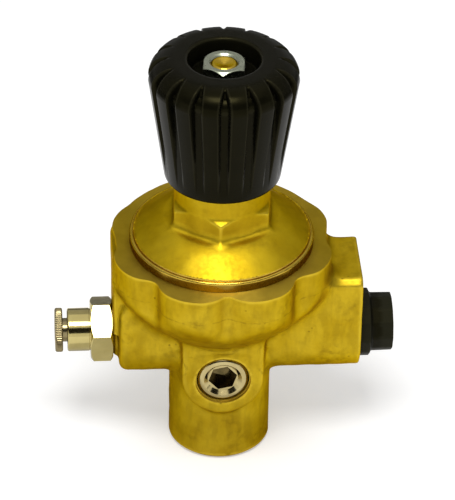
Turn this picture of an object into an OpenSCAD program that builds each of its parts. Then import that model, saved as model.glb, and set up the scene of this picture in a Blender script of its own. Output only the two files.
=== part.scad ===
// Compact brass gas pressure regulator for a small cylinder: forged body, screwed bonnet, fluted
// hand knob, push-in hose fitting, plugged front port and a plastic transit cap in the gauge port.
// Millimetres. +Z runs up the spindle, the hose fitting points along -X, the gauge port along +X
// and the plugged port along -Y. The origin is on the spindle axis, in the plane of the foot that
// meets the cylinder valve.

/* [Body] */
// Height of the forged body, from the foot of the stem to the face under the bonnet flange
body_h = 56.3; // [54:0.1:68]
// Diameter over the lobes of the rim
rim_d = 53.6; // [50:0.4:64]
// Number of lobes round the rim
lobes = 8; // [7:1:12]
// Radius of one lobe
lobe_r = 9; // [8.4:0.1:10.4]
// Depth of the hollow between two lobes at the front of the rim
front_hollow = 3.8; // [1:0.1:4.2]
// Depth of the hollow between two lobes at the back of the rim
back_hollow = 0.2; // [0.2:0.1:4]
// Height of the straight wall of the rim
rim_h = 6.2; // [5:0.2:9]
// Radius of the bowl under the rim, where it runs into the stem
bowl_foot_r = 12.4; // [12:0.2:14]
// Height of the bowl under the rim
bowl_h = 16.6; // [12:0.2:20]
// Fullness of the bowl: 1 is a plain cone
bowl_fullness = 1.5; // [1:0.1:2]
// Outer diameter of the inlet stem
stem_d = 24.2; // [23:0.2:29]
// Chamfer round the foot of the stem
foot_chamfer = 0.8; // [0.4:0.1:1.5]
// Wall of the cross arm round the gauge port; the arm is round underneath
arm_wall = 4.1; // [2.5:0.1:6]
// Reach of the hose arm from the spindle axis
hose_arm = 24.4; // [23:0.2:30]
// Reach of the gauge arm from the spindle axis
gauge_arm = 32.8; // [31:0.2:42]
// Height of the hose and gauge port axes
port_z = 31; // [30:0.2:34]
// Height of the top of the gauge arm's block below the top of the body
block_drop = 6.3; // [4:0.1:8]
// Chamfer along the top edges of the gauge arm's block
block_chamfer = 1.6; // [1:0.1:2.5]
// Height of the front port axis
front_port_z = 24.4; // [23:0.2:26]
// Wall of the front boss round its plug; the boss is round underneath
front_boss_wall = 3.5; // [2:0.1:5]
// Reach of the front boss from the spindle axis
front_boss_reach = 13.2; // [12.6:0.2:16]

/* [Inlet] */
// Bore of the inlet thread, the minor diameter of M10 x 1
inlet_d = 8.92; // [8.5:0.02:11]
// Length of the inlet thread, up to the seal
inlet_len = 8.5; // [7:0.5:10]
// Thickness of the inlet seal
inlet_seal_t = 1.5; // [1:0.1:2]
// Width of the ledge that the inlet seal rests on, round the filter
filter_ledge = 1; // [0.6:0.1:1.4]
// Length of the filter
filter_len = 4.2; // [3:0.2:5]
// Diameter of the gas passage above the filter
passage_d = 3; // [2:0.2:4]

/* [Diaphragm chamber] */
// Diameter of the thread between bonnet and body
bonnet_thread_d = 37.7; // [36:0.1:39]
// Depth of the threaded recess in the top of the body
recess_depth = 6.4; // [6:0.2:8]
// Diameter of the chamber under the diaphragm
chamber_d = 30; // [25:0.5:32]
// Depth of the chamber under the diaphragm
chamber_depth = 3.5; // [3.2:0.1:5]
// Thickness of the diaphragm
diaphragm_t = 1.2; // [0.8:0.1:1.6]
// Thickness of the slip ring over the rim of the diaphragm
slip_ring_t = 0.5; // [0.4:0.1:1]
// Radial gap between the plate on the diaphragm and the wall round it
plate_gap = 2.5; // [1.5:0.1:5]
// Thickness of the plate on the diaphragm
plate_t = 2; // [1.5:0.1:2.5]
// Stroke of the diaphragm, pusher and valve
valve_stroke = 0.8; // [0.4:0.1:1]

/* [Valve] */
// Outer diameter of the nozzle thread
nozzle_d = 9.8; // [9:0.1:10.6]
// Length of the nozzle below its head
nozzle_len = 8; // [6:0.2:9]
// How far the flats of the nozzle head stand out past its thread
nozzle_rim = 0.1; // [0.1:0.1:0.5]
// Height of the nozzle head
nozzle_head_h = 2.5; // [2:0.1:3]
// Diameter of the valve pin
pin_d = 1.5; // [1.2:0.1:1.8]
// Radial gap for the gas round the valve pin
orifice_gap = 0.5; // [0.3:0.05:0.7]
// Diameter of the high-pressure chamber round the poppet
poppet_room_d = 8.4; // [8:0.1:8.8]
// Radial gap for the gas round the poppet
poppet_gap = 0.8; // [0.5:0.1:1.2]
// Depth of the high-pressure chamber below the nozzle
poppet_room_len = 9.5; // [9:0.1:11]

/* [Bonnet] */
// Diameter of the bonnet flange
flange_d = 43.2; // [42:0.2:45]
// Height of the flange's rim above the body
flange_t = 2.6; // [2:0.1:3.4]
// Rise of the dome from the flange to the hexagon
dome_h = 4.8; // [4:0.2:8]
// Width across the flats of the bonnet hexagon
bonnet_af = 22; // [21:0.2:26.4]
// Height of the hexagon
hex_h = 5.6; // [4:0.2:8]
// How far the neck stands out past the flats of the hexagon
neck_proud = 0.2; // [0.1:0.1:0.5]
// Diameter of the spring chamber
spring_room_d = 16.6; // [15:0.2:18]

/* [Spindle and knob] */
// Outer diameter of the spindle thread
spindle_d = 12; // [11:0.2:14.4]
// Pitch of the spindle thread
spindle_pitch = 1.5; // [1:0.25:2]
// Turns of the knob from fully out to fully in
knob_turns = 3; // [2:0.5:3.5]
// How far the corners of the spindle's square drive stay inside its thread, on the diameter
drive_ease = 0.7; // [0.4:0.1:1.5]
// Diameter of the stud that takes the nut
stud_d = 5; // [4.5:0.5:6]
// How far the flats of the knob nut stand out past the square drive
nut_rim = 0.7; // [0.4:0.1:1.2]
// Height of the knob nut
nut_h = 4; // [3.2:0.2:6]
// Depth of the nut's top below the top of the knob
nut_drop = 1; // [0.5:0.1:2]
// Largest diameter of the knob, below its shoulder
knob_d = 34.6; // [33:0.2:42]
// Wall of the knob at its foot
knob_wall = 1.9; // [1.4:0.1:3]
// Height of the knob
knob_h = 31.1; // [30:0.2:38]
// Height of the knob's rounded shoulder
shoulder_h = 5.1; // [4:0.1:6]
// Diameter of the recess in the top of the knob
knob_recess_d = 16.8; // [15:0.2:19]
// Width of the flat ring round that recess
knob_land = 3.1; // [1.5:0.1:4]
// Thickness of the knob's web, which the nut clamps
web_t = 6; // [5:0.2:8]
// Number of flutes
flutes = 16; // [12:1:18]
// Width of a flute
flute_w = 2.3; // [1.8:0.1:3]
// Depth of a flute where the knob is widest
flute_depth = 1.6; // [1:0.1:2]
// Height of the plain band below the flutes
flute_free_h = 2.8; // [2:0.2:4]

/* [Springs] */
// Radial gap round the main spring
main_spring_gap = 0.9; // [0.5:0.1:1.5]
// Wire diameter of the main spring
main_wire_d = 1.5; // [1.2:0.1:1.6]
// Turns of the main spring
main_turns = 4.5; // [4:0.5:5]
// Radial gap between the poppet spring and the poppet's stem
poppet_spring_gap = 0.8; // [0.3:0.1:1]
// Wire diameter of the poppet spring
poppet_wire_d = 0.5; // [0.4:0.1:0.6]
// Turns of the poppet spring
poppet_turns = 5; // [4:0.5:6]

/* [Hose fitting] */
// Outer diameter of the fitting's port thread, G 1/8
fitting_thread_d = 9.7; // [8:0.1:11.7]
// Length of the fitting's port thread
fitting_thread_len = 6; // [5:0.5:8]
// Wall of the spot-faced boss round the hose port
hose_boss_wall = 1.45; // [1.35:0.05:3]
// Width of the pad that runs from that boss up to the rim
hose_pad_w = 15; // [13:0.5:18]
// Reach of that boss beyond the arm
hose_boss_h = 1.3; // [1:0.1:2]
// How far the flats of the fitting's hexagon stand out past its thread
fitting_shoulder = 2.05; // [1.7:0.05:3]
// Length of the fitting's hexagon
fitting_hex_len = 5.3; // [4:0.1:7]
// Diameter of the fitting's collar
collar_d = 10.3; // [10:0.1:12]
// Length of the fitting's collar
collar_len = 5.5; // [5:0.1:7]
// Outer diameter of the hose tube that the fitting takes
tube_d = 4; // [3.4:0.1:4.8]
// Diameter of the release ring
release_d = 10.5; // [10:0.1:12]
// Thickness of the release ring
release_t = 1.9; // [1.5:0.1:2.5]
// Travel of the release ring
release_travel = 1; // [0.6:0.1:1.4]

/* [Plug and cap] */
// Diameter of the front port's screw plug
plug_d = 12.4; // [10.4:0.2:14.8]
// Length of the screw plug
plug_len = 6.2; // [5:0.2:6.4]
// Width across the flats of the plug's socket
plug_socket_af = 6; // [5:0.5:6.5]
// Bore of the gauge port, the tapping size of G 1/4
gauge_bore_d = 11.8; // [9.8:0.1:14.2]
// Depth of the gauge port
gauge_bore_len = 14; // [12:0.5:16]
// Length of the transit cap's shank in the port
cap_shank_len = 8; // [6:0.5:10]
// How far the transit cap's flange stands out past the port's bore
cap_lip = 2.45; // [1:0.05:3.5]
// Thickness of the transit cap's flange
cap_flange_t = 2.7; // [2:0.1:3.5]
// Width of the step from the transit cap's flange down to its grip
cap_step = 1.25; // [0.8:0.05:2]
// Length of the transit cap's grip
cap_grip_len = 5.4; // [4:0.2:8]

/* [Screwed-up angles] */
// Angle of the bonnet's hexagon, as it was tightened
bonnet_angle = -5; // [-30:1:30]
// Angle of the knob, with the spindle fully out
knob_angle = -3; // [-11:1:11]
// Angle of the knob nut
nut_angle = -7; // [-30:1:30]
// Angle of the hose fitting's hexagon
fitting_angle = 15; // [-30:1:30]
// Angle of the front plug's socket
plug_angle = 12; // [-30:1:30]

/* [Fits] */
// Radial gap of a thread or a running fit
run_gap = 0.05; // [0.03:0.01:0.1]
// Gap between pieces that pass each other freely
free_gap = 0.4; // [0.3:0.05:0.6]
// Gap between a valve part and what it closes on or pushes
touch_gap = 0.05; // [0.02:0.01:0.1]

/* [Hidden] */
$fn = 96;
eps = 0.01;
through = 1;
// How far a boss or pad is rooted in the piece that carries it
root = 2;

// Sizes that follow from what they fit
filter_d = inlet_d - 2 * filter_ledge;
plate_d = chamber_d - 2 * plate_gap;
nozzle_af = nozzle_d + 2 * nozzle_rim;
orifice_d = pin_d + 2 * orifice_gap;
poppet_d = poppet_room_d - 2 * poppet_gap;
drive_af = (spindle_d - drive_ease) / sqrt(2);
nut_af = drive_af + 2 * nut_rim;
main_spring_d = spring_room_d - 2 * main_spring_gap;
front_boss_w = plug_d + 2 * front_boss_wall;
arm_w = gauge_bore_d + 2 * arm_wall;
hose_boss_d = fitting_thread_d + 2 * hose_boss_wall;
fitting_af = fitting_thread_d + 2 * fitting_shoulder;
cap_flange_d = gauge_bore_d + 2 * cap_lip;
cap_grip_d = cap_flange_d - 2 * cap_step;
knob_top_d = knob_recess_d + 2 * knob_land;

// Levels of the body, from the top face down
ledge_z = body_h - recess_depth;
chamber_floor_z = ledge_z - chamber_depth;
nozzle_head_z = chamber_floor_z - nozzle_head_h;
nozzle_foot_z = nozzle_head_z - nozzle_len;
poppet_floor_z = nozzle_foot_z - poppet_room_len;
rim_z = body_h - rim_h;
bowl_z = rim_z - bowl_h;
block_top_z = body_h - block_drop;
hose_arm_drop = 7;
hose_arm_top_z = rim_z - hose_arm_drop;
pad_drop = 1.2;
pad_top_z = body_h - pad_drop;
front_pad_drop = 10;
front_pad_top_z = rim_z - front_pad_drop;
arm_edge = 0.5;
pad_depth = 6;

// Levels of the inlet, from the foot up; the seal sits in the thread's relief groove
relief_depth = 0.6;
relief_d = inlet_d + 2 * relief_depth;
seal_z = inlet_len + 0.3;
pin_holder_z = seal_z + inlet_seal_t;
pin_holder_t = 2;
filter_z = pin_holder_z + pin_holder_t;
filter_top_z = filter_z + filter_len;
seal_bore_d = 4.4;
opening_pin_d = 1.8;
opening_pin_rise = 0.4;
gas_hole_d = 1.3;
gas_holes = 3;
gas_hole_r = filter_d / 4 + 0.45;

// Diaphragm stack
diaphragm_top_z = ledge_z + diaphragm_t;
bonnet_foot_z = diaphragm_top_z + slip_ring_t;
plate_top_z = diaphragm_top_z + plate_t;
clamp_d = bonnet_thread_d - 2 * run_gap;
pusher_d = 10;
pusher_t = 1.6;
rivet_d = 5;
pusher_z = ledge_z - pusher_t;
spring_boss_h = 1;
spring_boss_d = main_spring_d - 2 * main_wire_d - 2 * free_gap;

// Valve
lip_d = 4;
lip_h = 0.4;
seat_gap_z = nozzle_foot_z - lip_h - touch_gap;
seat_d = poppet_d - 1;
seat_t = 1.35;
poppet_rim_drop = 0.35;
poppet_head_t = 2.75;
poppet_stem_d = 2.4;
poppet_spring_d = poppet_stem_d + 2 * (poppet_spring_gap + poppet_wire_d);
poppet_head_z = seat_gap_z - poppet_head_t;
stem_clearance = 2.2;
poppet_stem_len = poppet_head_z - poppet_floor_z - valve_stroke - stem_clearance;
pin_foot_z = seat_gap_z - seat_t - 1.2;
orifice_len = 3;
outlet_d = orifice_d + 1.6;

// Bonnet levels
dome_z = body_h + flange_t;
hex_z = dome_z + dome_h;
hex_top_z = hex_z + hex_h;
neck_r = bonnet_af / 2 + neck_proud;
corner_r = bonnet_af / 2 / cos(30);
spring_room_top_z = hex_top_z - 0.7;
shoulder_slope = 0.75;
corner_clear_r = corner_r + 1;
flange_rounding = 0.5;
flange_lip = 1.4;
dome_steps = 8;
dome_fullness = 1.25;
neck_chamfer = 0.6;
clamp_bore_h = 3;

// Spindle and knob levels, with the knob fully out
travel = spindle_pitch * knob_turns;
spring_plate_t = 2.2;
spring_plate_top_z = spring_room_top_z - 1.4;
spring_plate_z = spring_plate_top_z - spring_plate_t;
ball_r = 2;
ball_z = spring_plate_top_z + 0.25;
ball_gap = 0.03;
spindle_foot_z = spring_plate_top_z + 0.5;
knob_foot_z = hex_top_z + travel + 1.5;
knob_top_z = knob_foot_z + knob_h;
recess_floor_z = knob_top_z - nut_drop - nut_h;
web_z = recess_floor_z - web_t;
neck_top_z = web_z - travel - 1.2;
cavity_r = neck_r + free_gap;
knob_foot_d = 2 * (cavity_r + knob_wall);
stud_top_z = recess_floor_z + nut_h - 0.3;
stud_chamfer = 0.5;
dimple_depth = 1.2;
spindle_chamfer = 0.8;
drive_len = web_t - 0.4;
nut_countersink = 0.6;
nut_top_z = recess_floor_z + nut_h;

// Hose fitting, measured along -X from the port face
hose_face = hose_arm + hose_boss_h;
hex_end = hose_face + fitting_hex_len;
collar_end = hex_end + collar_len;
release_inner = collar_end + release_travel + touch_gap;
release_outer = release_inner + release_t;
tube_r = tube_d / 2 + 0.1;
sleeve_r = tube_r + 0.75;
mouth_r = sleeve_r + run_gap;
cartridge_r = mouth_r + 0.55;
tube_stop = hex_end - 3;
fitting_edge = 0.4;
hex_chamfer_len = 0.75;
hex_clear_r = fitting_af / 2 + 1.1;
hex_face_r = fitting_af / 2 - 0.1;
cartridge_mouth = 1;
release_edge = 0.4;
release_back_edge = 0.3;
collet_end = collar_end - 1.9;
collet_barb = 0.6;
collet_slot_w = 0.7;
collet_slot_len = 4;
hose_passage_d = 2.6;
riser_d = 2.2;
riser_x = chamber_d / 2 - riser_d / 2 - 0.6;
seal_cord_d = 1.2;
seal_groove_d = fitting_thread_d + 2 * seal_cord_d + 0.3;
face_seal_d = 0.9;
tube_seal_x = tube_stop + 0.9;

// Plug and cap
plug_face = front_boss_reach - 0.3;
plug_foot = plug_face - plug_len;
plug_seal_d = 1.2;
front_bore_end = plug_foot - plug_seal_d;
plug_chamfer = 0.7;
plug_mouth_d = plug_d + 0.7;
socket_corner_d = plug_socket_af / cos(30);
socket_depth = 4.4;
socket_chamfer = 0.9;
cross_hole_d = passage_d - 0.6;
cross_hole_rise = 3;
cap_end = gauge_arm + cap_flange_t + cap_grip_len;
cap_bevel = 0.7;
cap_wall = 2;
cap_recess_depth = 4;
cap_shank_wall = 1.5;
cap_edge = 0.5;
port_passage_d = passage_d - 0.4;

// Radius of the knob's outside at a height above its foot, below the shoulder
function knob_r(h) = knob_foot_d / 2 + (knob_d - knob_foot_d) / 2 * h / (knob_h - shoulder_h);

// Quarter ellipse from (w, 0) to (0, h)
function quarter(w, h, steps) = [for (i = [0:steps]) [w * cos(90 * i / steps), h * sin(90 * i / steps)]];

// A bar along X between two distances
module along_x(from, to) {
    translate([from, 0, 0]) rotate([90, 0, 90]) linear_extrude(to - from) children();
}

// A round bar or hole along X, at a height
module rod_x(from, to, d, z) {
    translate([from, 0, z]) rotate([0, 90, 0]) cylinder(h = to - from, d = d);
}

// A round bar or hole along Y, at a height
module rod_y(from, to, d, z) {
    translate([0, from, z]) rotate([-90, 0, 0]) cylinder(h = to - from, d = d);
}

// A round bar or hole along Z
module rod_z(from, to, d) {
    translate([0, 0, from]) cylinder(h = to - from, d = d);
}

// A cone along X between two diameters, at a height
module cone_x(from, to, d1, d2, z) {
    translate([from, 0, z]) rotate([0, 90, 0]) cylinder(h = to - from, d1 = d1, d2 = d2);
}

// A cone along Z between two diameters
module cone_z(from, to, d1, d2) {
    translate([0, 0, from]) cylinder(h = to - from, d1 = d1, d2 = d2);
}

// A ring of round section about Z
module o_ring(inner_d, cord_d) {
    rotate_extrude() translate([(inner_d + cord_d) / 2, 0]) circle(d = cord_d, $fn = 32);
}

// A helical spring between two levels, its ends on those levels
module coil_spring(outer_d, wire_d, from, to, turns, steps = 16, sides = 6) {
    r = (outer_d - wire_d) / 2;
    rings = round(turns * steps);
    rise = to - from - wire_d;
    points = [for (i = [0:rings])
              let (a = 360 * turns * i / rings, z = from + wire_d / 2 + rise * i / rings)
              for (k = [0:sides - 1]) let (b = 360 * k / sides, q = r + wire_d / 2 * cos(b))
              [q * cos(a), q * sin(a), z + wire_d / 2 * sin(b)]];
    skin = [for (i = [0:rings - 1]) for (k = [0:sides - 1])
            let (n = (k + 1) % sides, a = i * sides + k, b = i * sides + n, c = a + sides, d = b + sides)
            each [[a, c, b], [b, c, d]]];
    foot = [for (k = [1:sides - 2]) [0, k, k + 1]];
    last = rings * sides;
    head = [for (k = [1:sides - 2]) [last, last + k + 1, last + k]];
    polyhedron(points = points, faces = concat(skin, foot, head), convexity = 10);
}

// Outline of the lobed rim: lobes round a disc that lies toward the back, where the hollows are shallower
module rim_outline() {
    translate([0, (front_hollow - back_hollow) / 2]) circle(d = rim_d - front_hollow - back_hollow);
    for (i = [0:lobes - 1])
        rotate((i + 0.5) * 360 / lobes - 90) translate([rim_d / 2 - lobe_r, 0]) circle(r = lobe_r);
}

// Section of an arm: round underneath, straight above
module arm_section(top_z, chamfer) {
    translate([0, port_z]) circle(d = arm_w);
    polygon([[-arm_w / 2, port_z], [arm_w / 2, port_z], [arm_w / 2, top_z - chamfer],
             [arm_w / 2 - chamfer, top_z], [-arm_w / 2 + chamfer, top_z], [-arm_w / 2, top_z - chamfer]]);
}

// Outline of a pad that is round underneath and runs straight up
module pad_outline(d, centre_z, top_z) {
    translate([0, centre_z]) circle(d = d);
    translate([-d / 2, centre_z]) square([d, top_z - centre_z]);
}

// Profile of the bowl, fuller than a cone
module bowl_profile() {
    rim_r = rim_d / 2 + 0.2;
    steps = 8;
    polygon(concat([[0, 0], [bowl_foot_r, 0]],
        [for (i = [1:steps]) let (t = i / steps)
            [bowl_foot_r + (rim_r - bowl_foot_r) * (1 - pow(1 - t, bowl_fullness)), bowl_h * t]],
        [[rim_r, bowl_h + eps], [0, bowl_h + eps]]));
}

// Outside of the forging, before it is machined
module forging() {
    translate([0, 0, rim_z]) linear_extrude(rim_h) rim_outline();
    translate([0, 0, bowl_z]) intersection() {
        linear_extrude(bowl_h + eps) rim_outline();
        rotate_extrude() bowl_profile();
    }
    along_x(-hose_arm, gauge_arm) arm_section(hose_arm_top_z, arm_edge);
    along_x(rim_d / 2 - 5, gauge_arm) arm_section(block_top_z, block_chamfer);
    rod_z(foot_chamfer, bowl_z + 1, stem_d);
    cone_z(0, foot_chamfer, stem_d - 2 * foot_chamfer, stem_d);
    rotate([90, 0, 0]) linear_extrude(front_boss_reach)
        pad_outline(front_boss_w, front_port_z, front_pad_top_z);
    rod_x(-hose_face, -hose_arm + root, hose_boss_d, port_z);
    translate([-hose_face, -hose_pad_w / 2, port_z + root])
        cube([pad_depth, hose_pad_w, pad_top_z - port_z - root]);
}

module body() color("goldenrod") difference() {
    forging();
    // bonnet recess, diaphragm chamber and valve bore
    rod_z(ledge_z, body_h + through, bonnet_thread_d);
    rod_z(chamber_floor_z, ledge_z + eps, chamber_d);
    rod_z(nozzle_head_z, chamber_floor_z + eps, nozzle_af / cos(30) + 2 * free_gap);
    rod_z(nozzle_foot_z - 1, nozzle_head_z + eps, nozzle_d + 2 * run_gap);
    rod_z(poppet_floor_z, nozzle_foot_z, poppet_room_d);
    // inlet
    rod_z(-through, inlet_len + eps, inlet_d);
    rod_z(inlet_len, pin_holder_z, relief_d);
    rod_z(pin_holder_z - eps, filter_top_z, filter_d + 2 * run_gap);
    rod_z(filter_top_z - eps, poppet_floor_z + eps, passage_d);
    // front port, counterbored for the plug, and its cross hole
    rod_y(-front_boss_reach - through, -front_bore_end, plug_d + 2 * run_gap, front_port_z);
    rod_y(-front_boss_reach - through, -front_boss_reach + plug_chamfer, plug_mouth_d, front_port_z);
    rod_y(-front_bore_end - eps, 0, cross_hole_d, front_port_z + cross_hole_rise);
    // hose port and gauge port, each with a passage to a riser that opens into the chamber
    rod_x(-hose_face - through, -hose_face + fitting_thread_len + 1,
          fitting_thread_d + 2 * run_gap, port_z);
    rod_x(-hose_face + fitting_thread_len, -riser_x, port_passage_d, port_z);
    rod_x(gauge_arm - gauge_bore_len, gauge_arm + through, gauge_bore_d, port_z);
    rod_x(riser_x, gauge_arm - gauge_bore_len + eps, port_passage_d, port_z);
    for (x = [-riser_x, riser_x])
        translate([x, 0, 0]) rod_z(port_z, chamber_floor_z + eps, riser_d);
}

// Outside of the bonnet above its thread
module bonnet_outside() {
    edge_r = flange_d / 2 - flange_rounding;
    edge_z = dome_z - flange_rounding;
    dome_r = flange_d / 2 - flange_lip;
    dome_run = dome_r - corner_r - 0.3;
    rotate_extrude() polygon(concat(
        [[0, body_h], [flange_d / 2, body_h]],
        [for (p = quarter(flange_rounding, flange_rounding, 4)) [edge_r + p[0], edge_z + p[1]]],
        [for (i = [1:dome_steps]) let (t = i / dome_steps)
            [dome_r - dome_run * t, dome_z + (hex_z - dome_z) * (1 - pow(1 - t, dome_fullness))]],
        [[0, hex_z]]));
    intersection() {
        translate([0, 0, dome_z]) rotate(30 + bonnet_angle)
            cylinder(h = hex_top_z - dome_z, r = corner_r, $fn = 6);
        rotate_extrude() polygon([[0, dome_z], [corner_clear_r, dome_z],
            [corner_clear_r, hex_top_z - (corner_clear_r - neck_r) * shoulder_slope],
            [neck_r, hex_top_z], [0, hex_top_z]]);
    }
    rod_z(hex_top_z - 1, neck_top_z - neck_chamfer, 2 * neck_r);
    cone_z(neck_top_z - neck_chamfer, neck_top_z, 2 * neck_r, 2 * (neck_r - neck_chamfer));
}

module bonnet() color("gold") difference() {
    union() {
        bonnet_outside();
        rod_z(bonnet_foot_z, body_h, clamp_d);
    }
    rod_z(bonnet_foot_z - through, bonnet_foot_z + clamp_bore_h, chamber_d);
    cone_z(bonnet_foot_z + clamp_bore_h - eps, dome_z - eps, chamber_d, spring_room_d);
    rod_z(dome_z - 1, spring_room_top_z, spring_room_d);
    rod_z(spring_room_top_z - eps, neck_top_z + through, spindle_d + 2 * run_gap);
}

module slip_ring() color("silver") difference() {
    rod_z(diaphragm_top_z, bonnet_foot_z, clamp_d);
    rod_z(diaphragm_top_z - through, bonnet_foot_z + through, chamber_d);
}

module diaphragm() color("dimgray") difference() {
    rod_z(ledge_z, diaphragm_top_z, clamp_d);
    rod_z(ledge_z - through, diaphragm_top_z + through, rivet_d + 2 * run_gap);
}

module diaphragm_plate() color("silver") difference() {
    union() {
        rod_z(diaphragm_top_z, plate_top_z, plate_d);
        rod_z(plate_top_z - eps, plate_top_z + spring_boss_h, spring_boss_d);
    }
    rod_z(diaphragm_top_z - through, plate_top_z + spring_boss_h + through, rivet_d + 2 * run_gap);
}

module diaphragm_pusher() color("gold") {
    rod_z(pusher_z, ledge_z, pusher_d);
    rod_z(ledge_z - eps, plate_top_z + spring_boss_h, rivet_d);
}

module main_spring() color("gray")
    coil_spring(main_spring_d, main_wire_d, plate_top_z, spring_plate_z, main_turns);

module spring_plate() color("silver") difference() {
    union() {
        rod_z(spring_plate_z, spring_plate_top_z, spring_room_d - 2 * free_gap);
        rod_z(spring_plate_z - spring_boss_h, spring_plate_z + eps, spring_boss_d);
    }
    translate([0, 0, ball_z]) sphere(r = ball_r + ball_gap);
}

module thrust_ball() color("lightgray") translate([0, 0, ball_z]) sphere(r = ball_r);

module spindle() color("gold") difference() {
    union() {
        cone_z(spindle_foot_z, spindle_foot_z + spindle_chamfer, spindle_d - 2 * spindle_chamfer, spindle_d);
        rod_z(spindle_foot_z + spindle_chamfer, web_z, spindle_d);
        translate([-drive_af / 2, -drive_af / 2, web_z]) cube([drive_af, drive_af, drive_len]);
        rod_z(web_z + 1, stud_top_z - stud_chamfer, stud_d);
        cone_z(stud_top_z - stud_chamfer, stud_top_z, stud_d, stud_d - 2 * stud_chamfer);
    }
    translate([0, 0, ball_z]) sphere(r = ball_r + ball_gap);
    cone_z(stud_top_z - dimple_depth, stud_top_z + eps, 0.6, stud_d - 2);
}

// Section of the knob's outside
module knob_section() {
    top_r = knob_top_d / 2;
    side_h = knob_h - shoulder_h;
    polygon(concat([[0, 0], [knob_foot_d / 2 - 0.5, 0], [knob_foot_d / 2, 0.6]],
        [for (p = quarter(knob_d / 2 - top_r, shoulder_h, 8)) [top_r + p[0], side_h + p[1]]],
        [[0, knob_h]]));
}

// What one flute takes away, in the plane of the knob's axis
module flute_section() {
    side_h = knob_h - shoulder_h;
    out = knob_d / 2 + 3;
    floor_r = knob_r(side_h) - flute_depth;
    top_r = knob_top_d / 2;
    polygon(concat([[out, flute_free_h], [knob_r(flute_free_h), flute_free_h]],
        [for (p = quarter(floor_r - top_r, shoulder_h - 0.3, 6)) [top_r + p[0], side_h + p[1]]],
        [[top_r, knob_h + 2], [out, knob_h + 2]]));
}

module knob() color("black") translate([0, 0, knob_foot_z]) difference() {
    rotate_extrude() knob_section();
    for (i = [0:flutes - 1])
        rotate(i * 360 / flutes - 90 + knob_angle) rotate([90, 0, 0]) translate([0, 0, -flute_w / 2])
            linear_extrude(flute_w) flute_section();
    rod_z(recess_floor_z - knob_foot_z, knob_h + through, knob_recess_d);
    rod_z(-through, web_z - knob_foot_z, 2 * cavity_r);
    drive_w = drive_af + 2 * run_gap;
    translate([-drive_w / 2, -drive_w / 2, 0]) cube([drive_w, drive_w, 2 * knob_h]);
}

module knob_nut() color("silver") difference() {
    intersection() {
        translate([0, 0, recess_floor_z]) rotate(30 + nut_angle)
            cylinder(h = nut_h, d = nut_af / cos(30), $fn = 6);
        cone_z(recess_floor_z - 3, nut_top_z, 2 * nut_af + 7.2, nut_af - 0.2);
    }
    rod_z(recess_floor_z - through, nut_top_z + through, stud_d + 2 * run_gap);
    cone_z(nut_top_z - nut_countersink, nut_top_z + eps, stud_d + 0.1, stud_d + 0.1 + 2 * nut_countersink);
}

module nozzle() color("gold") difference() {
    union() {
        rod_z(nozzle_foot_z, nozzle_head_z, nozzle_d);
        translate([0, 0, nozzle_head_z]) cylinder(h = nozzle_head_h, d = nozzle_af / cos(30), $fn = 6);
        rod_z(nozzle_foot_z - lip_h, nozzle_foot_z + eps, lip_d);
    }
    rod_z(nozzle_foot_z - through, nozzle_foot_z + orifice_len, orifice_d);
    rod_z(nozzle_foot_z + orifice_len - eps, chamber_floor_z + through, outlet_d);
}

module poppet() color("gold") difference() {
    union() {
        rod_z(poppet_head_z, seat_gap_z - poppet_rim_drop, poppet_d);
        rod_z(poppet_head_z - poppet_stem_len, poppet_head_z + eps, poppet_stem_d);
    }
    rod_z(seat_gap_z - seat_t, seat_gap_z + through, seat_d + 2 * run_gap);
    rod_z(pin_foot_z, seat_gap_z, pin_d);
}

module poppet_seat() color("white") difference() {
    rod_z(seat_gap_z - seat_t, seat_gap_z, seat_d);
    rod_z(seat_gap_z - seat_t - through, seat_gap_z + through, pin_d + 2 * run_gap);
}

module valve_pin() color("lightgray")
    rod_z(pin_foot_z, pusher_z - touch_gap, pin_d - run_gap);

module poppet_spring() color("gray")
    coil_spring(poppet_spring_d, poppet_wire_d, poppet_floor_z, poppet_head_z, poppet_turns);

module inlet_seal() color("dimgray") difference() {
    rod_z(seal_z, pin_holder_z, relief_d - 2 * run_gap);
    rod_z(seal_z - through, pin_holder_z + through, seal_bore_d);
}

module opening_pin() color("gold") difference() {
    union() {
        rod_z(pin_holder_z, filter_z, filter_d);
        rod_z(seal_z + opening_pin_rise, pin_holder_z + eps, opening_pin_d);
    }
    for (i = [0:gas_holes - 1])
        rotate(360 / gas_holes * i) translate([gas_hole_r, 0, 0])
            rod_z(pin_holder_z - through, filter_z + through, gas_hole_d);
}

module inlet_filter() color("peru") rod_z(filter_z, filter_top_z, filter_d);

module front_plug() color("silver") difference() {
    union() {
        rod_y(-plug_face + plug_chamfer, -plug_foot, plug_d, front_port_z);
        translate([0, -plug_face, front_port_z]) rotate([-90, 0, 0])
            cylinder(h = plug_chamfer, d1 = plug_d - 1.2, d2 = plug_d);
    }
    translate([0, -plug_face - eps, front_port_z]) rotate([-90, 0, 0])
        cylinder(h = socket_chamfer, d1 = socket_corner_d + 1.6, d2 = socket_corner_d - 0.4);
    translate([0, -plug_face - eps, front_port_z]) rotate([-90, 0, 0])
        rotate(plug_angle) cylinder(h = socket_depth, d = socket_corner_d, $fn = 6);
}

module front_plug_seal() color("dimgray")
    translate([0, -plug_foot + plug_seal_d / 2, front_port_z]) rotate([90, 0, 0])
        o_ring(plug_d - 2 * plug_seal_d - 0.6, plug_seal_d);

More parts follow.
